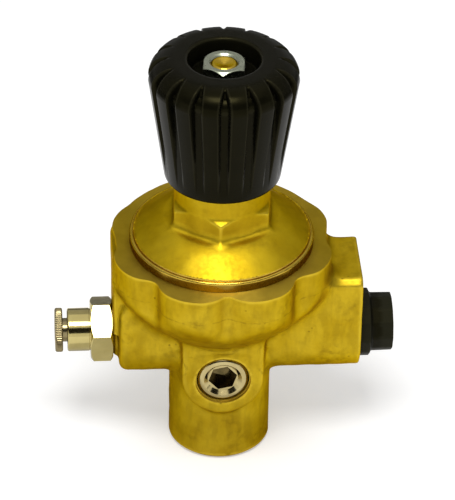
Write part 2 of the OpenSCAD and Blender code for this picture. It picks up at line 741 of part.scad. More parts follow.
module fitting_body() color("silver") difference() {
    union() {
        rod_x(-hose_face, -hose_face + fitting_thread_len, fitting_thread_d, port_z);
        intersection() {
            translate([-hex_end, 0, port_z]) rotate([0, 90, 0]) rotate(fitting_angle)
                cylinder(h = fitting_hex_len, d = fitting_af / cos(30), $fn = 6);
            translate([-hex_end, 0, port_z]) rotate([0, 90, 0]) rotate_extrude() polygon([[0, 0],
                [hex_face_r, 0], [hex_clear_r, hex_chamfer_len],
                [hex_clear_r, fitting_hex_len - hex_chamfer_len], [hex_face_r, fitting_hex_len],
                [0, fitting_hex_len]]);
        }
        rod_x(-collar_end + fitting_edge, -hex_end + eps, collar_d, port_z);
        cone_x(-collar_end, -collar_end + fitting_edge, collar_d - 2 * fitting_edge, collar_d, port_z);
    }
    rod_x(-collar_end - through, -collar_end + cartridge_mouth, 2 * mouth_r, port_z);
    cone_x(-collar_end + cartridge_mouth - eps, -collar_end + 2 * cartridge_mouth,
           2 * mouth_r, 2 * cartridge_r, port_z);
    rod_x(-collar_end + 2 * cartridge_mouth - eps, -tube_stop - 0.4, 2 * cartridge_r, port_z);
    rod_x(-tube_stop - 0.5, -tube_stop, tube_d + 0.2, port_z);
    rod_x(-tube_stop - eps, -hose_face + fitting_thread_len + through, hose_passage_d, port_z);
    difference() {
        rod_x(-hose_face - face_seal_d, -hose_face + eps, seal_groove_d, port_z);
        rod_x(-hose_face - 1, -hose_face + 1, fitting_thread_d - 0.2, port_z);
    }
}

module fitting_face_seal() color("dimgray")
    translate([-hose_face - face_seal_d / 2, 0, port_z]) rotate([0, 90, 0])
        o_ring(fitting_thread_d + 0.2, face_seal_d);

module tube_seal() color("dimgray")
    translate([-tube_seal_x - 0.3, 0, port_z]) rotate([0, 90, 0])
        o_ring(2 * tube_r - 0.05, cartridge_r - tube_r);

module release_ring() color("khaki") difference() {
    union() {
        rod_x(-release_outer + release_edge, -release_inner - release_back_edge, release_d, port_z);
        cone_x(-release_outer, -release_outer + release_edge, release_d - 1, release_d, port_z);
        cone_x(-release_inner - release_back_edge, -release_inner,
               release_d, release_d - 2 * release_back_edge, port_z);
        rod_x(-release_inner - eps, -collet_end, 2 * sleeve_r, port_z);
        cone_x(-collet_end - eps, -collet_end + collet_barb - eps,
               2 * sleeve_r, 2 * cartridge_r - 0.2, port_z);
    }
    rod_x(-release_outer - through, -collet_end + through, 2 * tube_r, port_z);
    for (a = [0, 90]) translate([-collar_end + 0.4, 0, port_z]) rotate([a, 0, 0])
        translate([0, -collet_slot_w / 2, -release_d / 2])
            cube([collet_slot_len, collet_slot_w, release_d]);
}

module port_cap() color("black") difference() {
    union() {
        rod_x(gauge_arm - cap_shank_len, gauge_arm + eps, gauge_bore_d - 2 * run_gap, port_z);
        rod_x(gauge_arm, gauge_arm + cap_flange_t - cap_bevel, cap_flange_d, port_z);
        cone_x(gauge_arm + cap_flange_t - cap_bevel, gauge_arm + cap_flange_t,
               cap_flange_d, cap_grip_d + 0.6, port_z);
        rod_x(gauge_arm + cap_flange_t - eps, cap_end - cap_edge, cap_grip_d, port_z);
        cone_x(cap_end - cap_edge, cap_end, cap_grip_d, cap_grip_d - 2 * cap_edge, port_z);
    }
    rod_x(cap_end - cap_recess_depth, cap_end + through, cap_grip_d - 2 * cap_wall, port_z);
    rod_x(gauge_arm - cap_shank_len - through, gauge_arm - cap_shank_wall,
          gauge_bore_d - 2 * cap_shank_wall, port_z);
}

body();
bonnet();
slip_ring();
diaphragm();
diaphragm_plate();
diaphragm_pusher();
main_spring();
spring_plate();
thrust_ball();
spindle();
knob();
knob_nut();
nozzle();
poppet();
poppet_seat();
valve_pin();
poppet_spring();
inlet_seal();
opening_pin();
inlet_filter();
front_plug();
front_plug_seal();
fitting_body();
fitting_face_seal();
tube_seal();
release_ring();
port_cap();
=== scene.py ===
from math import acos, atan2, cos, hypot, pi, radians, sin, sqrt, tan
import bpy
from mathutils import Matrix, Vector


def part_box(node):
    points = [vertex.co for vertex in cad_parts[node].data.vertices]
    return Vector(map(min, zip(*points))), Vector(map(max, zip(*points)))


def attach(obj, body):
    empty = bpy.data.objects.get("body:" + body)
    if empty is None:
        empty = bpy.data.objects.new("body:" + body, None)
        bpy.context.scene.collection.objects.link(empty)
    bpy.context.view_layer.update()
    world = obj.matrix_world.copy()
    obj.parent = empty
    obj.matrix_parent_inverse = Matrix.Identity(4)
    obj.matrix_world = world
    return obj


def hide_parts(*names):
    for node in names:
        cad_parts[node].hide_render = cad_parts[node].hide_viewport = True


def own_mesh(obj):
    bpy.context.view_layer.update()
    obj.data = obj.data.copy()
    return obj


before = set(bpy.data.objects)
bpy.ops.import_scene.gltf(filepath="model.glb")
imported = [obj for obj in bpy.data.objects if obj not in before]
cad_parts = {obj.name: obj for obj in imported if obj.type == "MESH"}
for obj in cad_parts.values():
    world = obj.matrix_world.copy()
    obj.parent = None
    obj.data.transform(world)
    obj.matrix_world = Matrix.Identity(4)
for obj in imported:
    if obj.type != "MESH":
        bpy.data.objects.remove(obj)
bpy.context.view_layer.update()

from types import SimpleNamespace

import bmesh
import bpy
import numpy as np
from mathutils import Matrix, Vector

mm = 0.001
scene = bpy.context.scene


def span(node, axis):
    low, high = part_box(node)
    return low[axis] / mm, high[axis] / mm


# places that the frame gives, in millimetres
bodyTop = span("body", 2)[1]            # the face under the bonnet's flange
armEnd = span("body", 0)[1]             # the gauge port's face
hoseFace = -span("body", 0)[0]          # the hose port's face
ledge = span("diaphragm", 2)[0]         # what the diaphragm rests on
bonnetFoot = span("slip_ring", 2)[1]
bonnetTop = span("bonnet", 2)[1]
clampRadius = span("slip_ring", 0)[1]
portZ = sum(span("port_cap", 2)) / 2
plugZ = sum(span("front_plug", 2)) / 2
knobLow, knobHigh = span("knob", 2)
nutLow, nutHigh = span("knob_nut", 2)
print("frame read: body", round(bodyTop, 1), "mm tall, knob up to", round(knobHigh, 1))


camera = dict(distance=800, elevation=35.39, azimuth=-4.36, roll=1.01, aimAcross=1.48, aimUp=53.1,
              lens=245.11, sensor=36, clip=(0.05, 20))


def wayTo(tilt, turn):   # outwards from the object, at an elevation and an azimuth
    return Vector((sin(turn) * cos(tilt), -cos(turn) * cos(tilt), sin(tilt)))


def makeCamera():
    tilt, turn, roll = (radians(camera[k]) for k in ("elevation", "azimuth", "roll"))
    back = wayTo(tilt, turn)
    right = Vector((cos(turn), sin(turn), 0))
    up = back.cross(right)
    across = right * cos(roll) + up * sin(roll)
    upright = up * cos(roll) - right * sin(roll)
    aim = right * camera["aimAcross"] + Vector((0, 0, camera["aimUp"]))
    data = bpy.data.cameras.new("camera")
    data.lens, data.sensor_width = camera["lens"], camera["sensor"]
    data.clip_start, data.clip_end = camera["clip"]
    made = bpy.data.objects.new("camera", data)
    turned = Matrix((across, upright, back)).transposed().to_4x4()
    made.matrix_world = Matrix.Translation((aim + back * camera["distance"]) * mm) @ turned
    scene.collection.objects.link(made)
    scene.camera = made


makeCamera()
print("camera placed")


# node tools, for finishes and for geometry nodes

def feed(node, inputs):   # links the sockets and sets the plain values
    for key, value in inputs.items():
        if isinstance(value, bpy.types.NodeSocket):
            node.id_data.links.new(value, node.inputs[key])
        else:
            node.inputs[key].default_value = value


def wire(tree, kind, inputs=None, **settings):
    made = tree.nodes.new(kind)
    for key, value in settings.items():
        setattr(made, key, value)
    feed(made, inputs or {})
    return made


def mapped(value, low, high, toLow=0.0, toHigh=1.0, smooth=False):
    kind = "SMOOTHSTEP" if smooth else "LINEAR"
    inputs = {"Value": value, "From Min": low, "From Max": high, "To Min": toLow, "To Max": toHigh}
    return wire(value.id_data, "ShaderNodeMapRange", inputs, interpolation_type=kind).outputs["Result"]


def calc(operation, a, b=0.0):
    tree = (b if isinstance(a, float) else a).id_data
    return wire(tree, "ShaderNodeMath", {0: a, 1: b}, operation=operation).outputs[0]


def mixColour(factor, a, b):
    a, b = ((*c, 1) if isinstance(c, tuple) else c for c in (a, b))
    return wire(factor.id_data, "ShaderNodeMix", {0: factor, 6: a, 7: b}, data_type="RGBA").outputs[2]


def noiseOf(place, size, detail=2.0):   # size is that of one feature, in millimetres
    inputs = {"Vector": place, "Scale": 1 / (size * mm), "Detail": detail}
    return wire(place.id_data, "ShaderNodeTexNoise", inputs).outputs["Fac"]


# from where to where a noise or the relief counts
band = dict(cloud=(0.38, 0.62), worn=(0.36, 0.56), speck=(0.3, 0.7), corner=(-0.06, -0.35),
            edge=(0.15, 0.6))
# what breaks up a mark: the size of its patches, their detail, and from where to where they count
patches = dict(smudge=(8, 2, 0.5, 0.66), speckle=(1.6, 6, 0.46, 0.7), pitted=(9, 2, 0.52, 0.6),
               grimeAndShade=(2.2, 4, 0.35, 0.6), line=(1.4, 4, 0.4, 0.6))
# the last value pales the edges: wear on the brass and a painted highlight on the plastics
pitDepth, pitShade, lineDepth, edgeWearAndSheen = 0.08, 0.75, 0.06, 0.7


def patchesOf(place, name, strength=1.0):
    size, detail, low, high = patches[name]
    return mapped(noiseOf(place, size, detail), low, high, 0.0, strength)


def newMaterial(name):
    material = bpy.data.materials.new(name)
    material.use_nodes = True
    return material, material.node_tree, material.node_tree.nodes["Principled BSDF"]


def makeFinish(name, look):
    material, tree, shader = newMaterial(name)
    place = wire(tree, "ShaderNodeTexCoord").outputs["Object"]
    cloud = mapped(noiseOf(place, look["patch"], 3), *band["cloud"])
    colour = mixColour(cloud, look["colour"], look["shade"])
    heights = []
    if "streaks" in look:   # fine marks, drawn out along Z
        size, strength, depth = look["streaks"]
        drawn = wire(tree, "ShaderNodeVectorMath", {0: place, 1: (1, 1, 0.3)}, operation="MULTIPLY")
        fine = noiseOf(drawn.outputs[0], size, 6)
        colour = mixColour(mapped(fine, *band["worn"], strength, 0.0), colour, look["hollow"])
        heights.append((fine, depth))
    if "smudge" in look:
        smudged = patchesOf(place, "smudge")
        speckled = patchesOf(place, "speckle", look["smudge"])
        colour = mixColour(calc("MULTIPLY", smudged, speckled), colour, look["hollow"])
    if "pits" in look:
        cells = wire(tree, "ShaderNodeTexVoronoi", {"Vector": place, "Scale": 1 / (look["pitGap"] * mm)})
        chosen = patchesOf(place, "pitted")
        spot = calc("MULTIPLY", mapped(cells.outputs["Distance"], look["pits"], 0.02), chosen)
        colour = mixColour(calc("MULTIPLY", spot, pitShade), colour, look["hollow"])
        heights.append((calc("SUBTRACT", 0.0, spot), pitDepth))
    if "hollow" in look:   # painted shade in the corners, with tarnish on brass, and paler edges: wear on brass, a painted highlight on the plastics
        relief = wire(tree, "ShaderNodeAttribute", attribute_name="relief").outputs["Fac"]
        # patches that break up the corners' painted shade and tarnish
        broken = patchesOf(place, "grimeAndShade")
        dirtAndShade = calc("MULTIPLY", mapped(relief, *band["corner"], 0.0, look["dirtAndShade"]), broken)
        colour = mixColour(dirtAndShade, colour, look["hollow"])
        colour = mixColour(mapped(relief, *band["edge"], 0.0, edgeWearAndSheen), colour, look["edge"])
    for line, width, strength in look.get("lines", ()):
        away = wire(tree, "ShaderNodeAttribute", attribute_name=line).outputs["Fac"]
        wander = mapped(noiseOf(place, 2.5, 3), 0.0, 1.0, -0.45, 0.45)
        away = calc("ABSOLUTE", calc("ADD", away, wander))
        broken = patchesOf(place, "line")
        mark = calc("MULTIPLY", mapped(away, width, 0.1, 0.0, strength), broken)
        colour = mixColour(mark, colour, look["hollow"])
        heights.append((calc("SUBTRACT", 0.0, mark), lineDepth))
    grain = look.get("grain", 0.3)
    rough = mapped(noiseOf(place, grain * 3, 3), *band["speck"], *look["rough"])
    feed(shader, {
        "Base Color": colour, "Roughness": rough, "Metallic": look.get("metal", 1.0),
        "Specular IOR Level": look.get("gloss", 0.5),
        "Specular Tint": (*look.get("rimTint", (1, 1, 1)), 1)})
    if "grainHeight" in look:
        heights.append((noiseOf(place, grain, 2), look["grainHeight"]))
    if "wave" in look:
        heights.append((noiseOf(place, look["wave"][0], 1), look["wave"][1]))
    if "rings" in look:
        heights.append((ringHeight(place, look), look["rings"][1]))
    if "brushed" in look:
        around = wire(tree, "ShaderNodeTangent", direction_type="RADIAL", axis=look.get("axis", "Z"))
        feed(shader, {"Tangent": around.outputs[0], "Anisotropic": look["brushed"],
                      "Anisotropic Rotation": 0.25})
    bump = {}
    for height, depth in heights:
        inputs = {"Height": height, "Distance": depth * mm, "Strength": 1.0, **bump}
        bump = {"Normal": wire(tree, "ShaderNodeBump", inputs).outputs[0]}
    feed(shader, bump)
    return material


def ringHeight(place, look):   # the fine rings that a lathe tool leaves on a face
    tree = place.id_data
    parts = wire(tree, "ShaderNodeSeparateXYZ", {0: place}).outputs
    u, v = [parts[k] for k in "XYZ" if k != look.get("axis", "Z")]
    radius = calc("SQRT", calc("ADD", calc("MULTIPLY", u, u), calc("MULTIPLY", v, v)))
    line = wire(tree, "ShaderNodeCombineXYZ", {0: radius})
    return noiseOf(line.outputs[0], look["rings"][0], 4)


# colour and shade lie in clouds "patch" wide; sizes and heights are in millimetres

brass = (0.58, 0.405, 0.02)
# this colour darkens streaks, smudges and pits; in the corners it is tarnish and painted shade together
tarnishAndShade = (0.11, 0.055, 0.006)
amber = (1.0, 0.88, 0.36)

finishes = dict(
    forgedBrass=dict(colour=brass, shade=(0.5, 0.335, 0.012), hollow=tarnishAndShade, edge=(0.72, 0.52, 0.04),
        rimTint=brass, rough=(0.42, 0.54), patch=7, grainHeight=0.006, wave=(5, 0.12), dirtAndShade=0.14,
        smudge=0.4, streaks=(1.8, 0.2, 0.03), pits=0.13, pitGap=2.8,
        lines=(("parting", 0.28, 0.3), ("meeting", 0.22, 0.35))),
    machinedBrass=dict(colour=(0.55, 0.38, 0.04), shade=(0.48, 0.33, 0.034), rimTint=brass,
        rough=(0.4, 0.46), brushed=0.9, rings=(0.7, 0.008), patch=5),
    castBrass=dict(colour=(0.57, 0.395, 0.014), shade=(0.5, 0.335, 0.009), hollow=tarnishAndShade,
        edge=(0.76, 0.56, 0.04), rimTint=brass, rough=(0.42, 0.52), patch=6, grainHeight=0.012,
        wave=(4, 0.06), dirtAndShade=0.12, smudge=0.25, streaks=(2.4, 0.1, 0.01)),
    turnedBrass=dict(colour=(0.62, 0.43, 0.06), shade=(0.54, 0.36, 0.045), rimTint=brass,
        rough=(0.2, 0.28), brushed=0.4, rings=(0.5, 0.002), patch=4),
    # a darker copy of the turned brass for the flange's band: painted shade
    shadedBandBrass=dict(colour=(0.3, 0.185, 0.022), shade=(0.24, 0.145, 0.016), rimTint=brass,
        rough=(0.24, 0.34), rings=(0.5, 0.002), patch=4),
    nickel=dict(colour=(0.55, 0.46, 0.185), shade=(0.49, 0.405, 0.155), rough=(0.1, 0.17), patch=5,
        grain=0.4, wave=(3, 0.005)),
    ringNickel=dict(colour=(0.29, 0.24, 0.12), shade=(0.25, 0.2, 0.1), rough=(0.16, 0.24), patch=3),
    plugMetal=dict(colour=(0.53, 0.44, 0.21), shade=(0.46, 0.37, 0.17), rough=(0.1, 0.18), axis="Y",
        rings=(0.2, 0.002), patch=3),
    # a darker copy of the plug's metal for its socket: painted shade in the recess
    shadedSocketMetal=dict(colour=(0.2, 0.15, 0.06), shade=(0.13, 0.1, 0.04), rough=(0.16, 0.26), patch=2),
    zincSteel=dict(colour=(0.4, 0.42, 0.32), shade=(0.35, 0.38, 0.28), rough=(0.24, 0.34), patch=2),
    springSteel=dict(colour=(0.3, 0.3, 0.31), shade=(0.24, 0.24, 0.25), rough=(0.28, 0.4), patch=2,
        grain=0.2, grainHeight=0.004),
    ballSteel=dict(colour=(0.6, 0.6, 0.6), shade=(0.56, 0.56, 0.57), rough=(0.06, 0.1), patch=3),
    # on the knob, the hollow colour and its strength are painted shade in the flutes and corners, and the
    # paler edge colour is a painted highlight on the lips
    knobPlastic=dict(colour=(0.0045, 0.0042, 0.002), shade=(0.0035, 0.0033, 0.0016),
        hollow=(0.0008, 0.0008, 0.0006), edge=(0.014, 0.013, 0.007), rimTint=amber, metal=0.0,
        gloss=0.065, rough=(0.19, 0.27), patch=5, grainHeight=0.005, dirtAndShade=0.8),
    # on the cap too, the hollow colour and its strength are painted shade in the corners, and the paler
    # edge colour is a painted highlight
    capPlastic=dict(colour=(0.005, 0.0048, 0.0022), shade=(0.004, 0.0038, 0.0018),
        hollow=(0.003, 0.003, 0.003), edge=(0.016, 0.016, 0.01), rimTint=amber, metal=0.0, gloss=0.08,
        rough=(0.5, 0.6), patch=4, grain=0.25, grainHeight=0.005, dirtAndShade=0.5),
    seatPlastic=dict(colour=(0.8, 0.78, 0.7), shade=(0.74, 0.72, 0.64), metal=0.0, rough=(0.3, 0.4),
        patch=3),
    blackRubber=dict(colour=(0.012, 0.012, 0.012), shade=(0.008, 0.008, 0.008), metal=0.0, gloss=0.3,
        rough=(0.55, 0.7), patch=3, grain=0.2, grainHeight=0.006),
    filterBronze=dict(colour=(0.4, 0.22, 0.08), shade=(0.28, 0.15, 0.06), rough=(0.5, 0.65), patch=0.6,
        grain=0.15, grainHeight=0.04))
finish = {name: makeFinish(name, look) for name, look in finishes.items()}
print("finishes made:", len(finish))


# mesh tools, which take millimetres

def makeMesh(name, points, faces):
    mesh = bpy.data.meshes.new(name)
    mesh.from_pydata([tuple(p) for p in np.asarray(points, float) * mm], [], [tuple(f) for f in faces])
    mesh.update()
    made = bpy.data.objects.new(name, mesh)
    scene.collection.objects.link(made)
    return made


def paint(piece, look):
    piece.data.materials.clear()
    piece.data.materials.append(finish[look])
    return piece


def bakeModifiers(piece):
    bpy.context.view_layer.update()
    found = piece.evaluated_get(bpy.context.evaluated_depsgraph_get())
    mesh = bpy.data.meshes.new_from_object(found)
    piece.modifiers.clear()
    old, piece.data = piece.data, mesh
    bpy.data.meshes.remove(old)
    return piece


def cut(piece, tools, inner=None, operation="DIFFERENCE"):   # inner is the finish of the new faces
    for tool in tools:
        if inner:
            paint(tool, inner)
        change = piece.modifiers.new("cut", "BOOLEAN")
        change.operation, change.solver, change.object = operation, "MANIFOLD", tool
        change.material_mode = "TRANSFER"
    bakeModifiers(piece)
    for tool in tools:
        bpy.data.objects.remove(tool)
    return piece


def shade(piece, angle=30):
    piece.data.shade_smooth()
    piece.data.set_sharp_from_angle(angle=radians(angle))
    return piece


def bevelEdges(piece, width, angle=30, segments=2, sharp=60):
    change = piece.modifiers.new("edges", "BEVEL")
    change.width, change.segments, change.limit_method = width * mm, segments, "ANGLE"
    change.angle_limit = radians(angle)
    return weighNormals(shade(piece, sharp))


def weighNormals(piece):   # keeps flat faces flat beside their rounded edges
    piece.modifiers.new("flat", "WEIGHTED_NORMAL").keep_sharp = True
    return bakeModifiers(piece)


def arcCorner(before, corner, after, radius, steps):
    a, b, c = (np.array(p, float) for p in (before, corner, after))
    u, v = (a - b) / np.linalg.norm(a - b), (c - b) / np.linalg.norm(c - b)
    half = acos(max(-1, min(1, float(u @ v)))) / 2
    if half > 1.5:   # nearly straight
        return [tuple(b)]
    reach = min(radius / tan(half), 0.45 * np.linalg.norm(a - b), 0.45 * np.linalg.norm(c - b))
    radius = reach * tan(half)
    middle = b + (u + v) / np.linalg.norm(u + v) * (radius / sin(half))
    start, end = b + u * reach - middle, b + v * reach - middle
    turn = atan2(start[0] * end[1] - start[1] * end[0], float(start @ end))
    made = []
    for i in range(steps + 1):
        t = turn * i / steps
        made.append((middle[0] + start[0] * cos(t) - start[1] * sin(t),
                     middle[1] + start[0] * sin(t) + start[1] * cos(t)))
    return made


def toAxis(outline, steps):   # closes an outline on the axis and rounds the points that hold a rounding
    closed = [(0, outline[0][1])] if outline[0][0] else []
    closed += outline + ([(0, outline[-1][1])] if outline[-1][0] else [])
    made = []
    for i, point in enumerate(closed):
        if len(point) < 3:
            made.append(point)
        else:
            made += arcCorner(closed[i - 1][:2], point[:2], closed[i + 1][:2], point[2], steps)
    return made


def rows(radius, low, high, gap):   # points up a wall, evenly spaced; its radius may follow the height
    count = max(1, round((high - low) / gap))
    heights = [low + (high - low) * i / count for i in range(1, count)]
    return [(radius(z) if callable(radius) else radius, z) for z in heights]


# an outline of (radius, height) or (radius, height, rounding), turned about Z
def spun(name, outline, sides=128, steps=4):
    ring = np.arange(sides) * 2 * pi / sides
    points, levels = [], []
    for r, z in toAxis(outline, steps):
        if r < 1e-6:
            levels.append([len(points)] * sides)
            points.append((0, 0, z))
        else:
            levels.append(list(range(len(points), len(points) + sides)))
            points += [(r * cos(a), r * sin(a), z) for a in ring]
    faces = []
    for low, high in zip(levels, levels[1:]):
        for i in range(sides):
            j = (i + 1) % sides
            face = [low[i], low[j], high[j], high[i]]
            face = [f for k, f in enumerate(face) if f != face[k - 1]]
            if len(face) > 2:
                faces.append(face)
    return tidyNormals(makeMesh(name, points, faces))


def tidyNormals(piece):
    work = bmesh.new()
    work.from_mesh(piece.data)
    bmesh.ops.recalc_face_normals(work, faces=work.faces)
    work.to_mesh(piece.data)
    work.free()
    return piece


def prism(name, outline, low, high):
    n = len(outline)
    points = [(x, y, low) for x, y in outline] + [(x, y, high) for x, y in outline]
    faces = [tuple(range(n))[::-1], tuple(range(n, 2 * n))]
    faces += [(i, (i + 1) % n, n + (i + 1) % n, n + i) for i in range(n)]
    return tidyNormals(makeMesh(name, points, faces))


def polygonOutline(sides, flats, turn=0):   # its first corner lies half a side past the turn
    reach = flats / 2 / cos(pi / sides)
    angles = [radians(turn) + (i + 0.5) * 2 * pi / sides for i in range(sides)]
    return [(reach * cos(a), reach * sin(a)) for a in angles]


def turnTo(piece, axis, origin=(0, 0, 0)):   # lays a piece's Z axis along an axis, from an origin
    angle, about = {"+X": (90, "Y"), "-X": (-90, "Y"), "-Y": (90, "X"), "+Z": (0, "Z")}[axis]
    turned = Matrix.Rotation(radians(angle), 4, about)
    piece.data.transform(Matrix.Translation(Vector(origin) * mm) @ turned)
    return piece


def rod(radius, low, high, axis="+Z", origin=(0, 0, 0)):
    return turnTo(spun("rod", [(radius, low), (radius, high)], 96), axis, origin)


def addPiece(piece, body, slot, *nodes):
    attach(piece, body)
    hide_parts(*nodes)
    return piece


def readPoints(mesh, kind):
    values = np.empty(len(mesh.vertices) * 3)
    mesh.vertices.foreach_get(kind, values)
    return values.reshape(-1, 3)


def markPoints(mesh, name, values):
    mesh.attributes.new(name, "FLOAT", "POINT").data.foreach_set("value", values.astype(np.float32))


# how far each point stands out on an edge (above 0) or lies in a corner (below 0), spread a little
def markRelief(piece, spread=2):
    mesh = piece.data
    n = len(mesh.vertices)
    place, normal = readPoints(mesh, "co") / mm, readPoints(mesh, "normal")
    pairs = np.empty(len(mesh.edges) * 2, int)
    mesh.edges.foreach_get("vertices", pairs)
    a, b = pairs.reshape(-1, 2).T
    gap = place[b] - place[a]
    bend = ((normal[b] - normal[a]) * gap).sum(1) / np.maximum((gap ** 2).sum(1), 1e-4)
    number = np.maximum(np.bincount(pairs, minlength=n), 1)
    value = (np.bincount(a, bend, n) + np.bincount(b, bend, n)) / number
    value = np.clip(value, -3, 3)
    for _ in range(spread):
        value = 0.5 * value + 0.5 * (np.bincount(a, value[b], n) + np.bincount(b, value[a], n)) / number
    markPoints(mesh, "relief", value)
    return piece


# blended solids: a field of distances, turned into a mesh

def blendJoin(a, b, k):
    h = np.maximum(k - np.abs(a - b), 0) / k
    return np.minimum(a, b) - h * h * k / 4


def blendCut(a, b, k):
    return -blendJoin(-a, -b, k)


def cellBeside(at, u, v, du, dv):   # the cell on one side of an edge of the grid
    cell = at.copy()
    cell[:, u] -= du
    cell[:, v] -= dv
    return tuple(cell.T)


def fieldMesh(name, field, low, high, step):
    low, high = np.array(low, float), np.array(high, float)
    count = np.ceil((high - low) / step).astype(int) + 1
    axes = [low[i] + step * np.arange(count[i]) for i in range(3)]
    grid = np.empty(tuple(count))
    for i, x in enumerate(axes[0]):
        y, z = np.meshgrid(axes[1], axes[2], indexing="ij")
        grid[i] = field(np.full_like(y, x), y, z)
    inside = grid < 0
    cells = tuple(count - 1)
    total, number = np.zeros(cells + (3,)), np.zeros(cells)
    edges = []
    for axis in range(3):
        near, far = [slice(None)] * 3, [slice(None)] * 3
        near[axis], far[axis] = slice(0, -1), slice(1, None)
        a, b = grid[tuple(near)], grid[tuple(far)]
        at = np.argwhere(inside[tuple(near)] != inside[tuple(far)])
        va, vb = a[tuple(at.T)], b[tuple(at.T)]
        place = at.astype(float)
        place[:, axis] += va / (va - vb)
        u, v = [k for k in range(3) if k != axis]
        for du, dv in ((0, 0), (0, 1), (1, 0), (1, 1)):
            cell = cellBeside(at, u, v, du, dv)
            np.add.at(total, cell, place)
            np.add.at(number, cell, 1)
        edges.append((axis, u, v, at, inside[tuple(near)][tuple(at.T)]))
    used = np.argwhere(number > 0)
    index = np.full(cells, -1)
    index[tuple(used.T)] = np.arange(len(used))
    points = low + step * total[tuple(used.T)] / number[tuple(used.T)][:, None]
    faces, turn = [], ((0, 0), (1, 0), (1, 1), (0, 1))
    for axis, u, v, at, nearInside in edges:
        quad = np.stack([index[cellBeside(at, u, v, du, dv)] for du, dv in turn], 1)
        flip = nearInside if axis != 1 else ~nearInside
        quad[flip] = quad[flip][:, ::-1]
        faces.append(quad[:, ::-1])
    for _ in range(3):
        points = drawnToSurface(field, points, step)
    return makeMesh(name, points, np.concatenate(faces))


def drawnToSurface(field, points, step):
    h = step * 0.1
    value = field(*points.T)
    slope = np.stack(
        [(field(*(points + h * e).T) - field(*(points - h * e).T)) / (2 * h) for e in np.eye(3)], 1)
    move = value[:, None] * slope / np.maximum((slope ** 2).sum(1), 0.2)[:, None]
    return points - np.clip(move, -step / 2, step / 2)


# geometry nodes: grooves that repeat round a turned piece (flutes, knurls and threads), and a wound wire

def addInputs(tree, names):
    tree.interface.new_socket("Geometry", in_out="OUTPUT", socket_type="NodeSocketGeometry")
    tree.interface.new_socket("Geometry", in_out="INPUT", socket_type="NodeSocketGeometry")
    for name in names.split():
        tree.interface.new_socket(name, in_out="INPUT", socket_type="NodeSocketFloat")
    tree.interface.new_socket("Material", in_out="INPUT", socket_type="NodeSocketMaterial")
    return tree.nodes.new("NodeGroupInput").outputs


def endTree(tree, geometry, material):
    real = wire(tree, "GeometryNodeRealizeInstances", {0: geometry})
    painted = wire(tree, "GeometryNodeSetMaterial", {"Geometry": real.outputs[0], "Material": material})
    wire(tree, "NodeGroupOutput", {0: painted.outputs[0]})
    return tree


# count grooves lie side by side round a piece and wind by climb turns per metre; floor is half a groove's
# flat floor and flank its slope's width; they begin at low, are deep from full to high and stop at end
def makeRibsTree():
    tree = bpy.data.node_groups.new("ribs", "GeometryNodeTree")
    given = addInputs(tree, "count climb offset pitch floor flank depth low full high end")
    point = wire(tree, "GeometryNodeInputPosition").outputs[0]
    place = wire(tree, "ShaderNodeSeparateXYZ", {0: point}).outputs
    turn = calc("DIVIDE", calc("ARCTAN2", place["Y"], place["X"]), 2 * pi)
    phase = calc("MULTIPLY", turn, given["count"])
    climb = calc("MULTIPLY", place["Z"], given["climb"])
    phase = calc("ADD", calc("ADD", phase, climb), given["offset"])
    away = calc("ABSOLUTE", calc("SUBTRACT", calc("FRACT", phase), 0.5))
    away = calc("MULTIPLY", away, given["pitch"])
    narrow = calc("POWER", mapped(place["Z"], given["full"], given["end"]), 3.0)
    away = calc("ADD", away, calc("MULTIPLY", narrow, given["floor"]))
    lip = calc("ADD", given["floor"], given["flank"])
    groove = mapped(away, given["floor"], lip, 1.0, 0.0, smooth=True)
    rise = mapped(place["Z"], given["low"], given["full"])
    fall = mapped(place["Z"], given["high"], given["end"], 1.0, 0.0, smooth=True)
    deep = calc("MULTIPLY", calc("MULTIPLY", groove, calc("MINIMUM", rise, fall)), given["depth"])
    normal = wire(tree, "GeometryNodeInputNormal").outputs[0]
    inputs = {0: normal, "Scale": calc("MULTIPLY", deep, -1.0)}
    way = wire(tree, "ShaderNodeVectorMath", inputs, operation="SCALE")
    moved = wire(
        tree, "GeometryNodeSetPosition", {"Geometry": given["Geometry"], "Offset": way.outputs[0]})
    return endTree(tree, moved.outputs[0], given["Material"])


def makeCoilTree():
    tree = bpy.data.node_groups.new("wire coil", "GeometryNodeTree")
    given = addInputs(tree, "turns radius wire rise foot")
    coil = wire(tree, "GeometryNodeCurveSpiral", {
        "Resolution": 40, "Rotations": given["turns"], "Height": given["rise"],
        "Start Radius": given["radius"], "End Radius": given["radius"]})
    ring = wire(tree, "GeometryNodeCurvePrimitiveCircle", {"Resolution": 14, "Radius": given["wire"]})
    skin = wire(tree, "GeometryNodeCurveToMesh",
                {"Curve": coil.outputs[0], "Profile Curve": ring.outputs[0], "Fill Caps": True})
    place = wire(tree, "ShaderNodeCombineXYZ", {2: given["foot"]})
    moved = wire(
        tree, "GeometryNodeTransform", {"Geometry": skin.outputs[0], "Translation": place.outputs[0]})
    return endTree(tree, moved.outputs[0], given["Material"])


ribsTree, coilTree = makeRibsTree(), makeCoilTree()


def runTree(piece, tree, look, counts, lengths):
    values = {**counts, **{name: length * mm for name, length in lengths.items()}}
    made = piece.modifiers.new("made", "NODES")
    made.node_group = tree
    for item in tree.interface.items_tree:
        if item.in_out == "INPUT" and item.name in values:
            made[item.identifier] = float(values[item.name])
        elif item.in_out == "INPUT" and item.name == "Material":
            made[item.identifier] = finish[look]
    bakeModifiers(piece)
    return tidyNormals(piece)


def threaded(piece, pitch, depth, low, high, look):
    runOut = 0.6
    counts = dict(count=1, climb=-1 / (pitch * mm), offset=0)
    lengths = dict(pitch=pitch, floor=0.06 * pitch, flank=0.4 * pitch, depth=depth, low=low,
                   full=low + runOut, high=high - runOut, end=high)
    return runTree(piece, ribsTree, look, counts, lengths)


print("tools ready")


# forged body

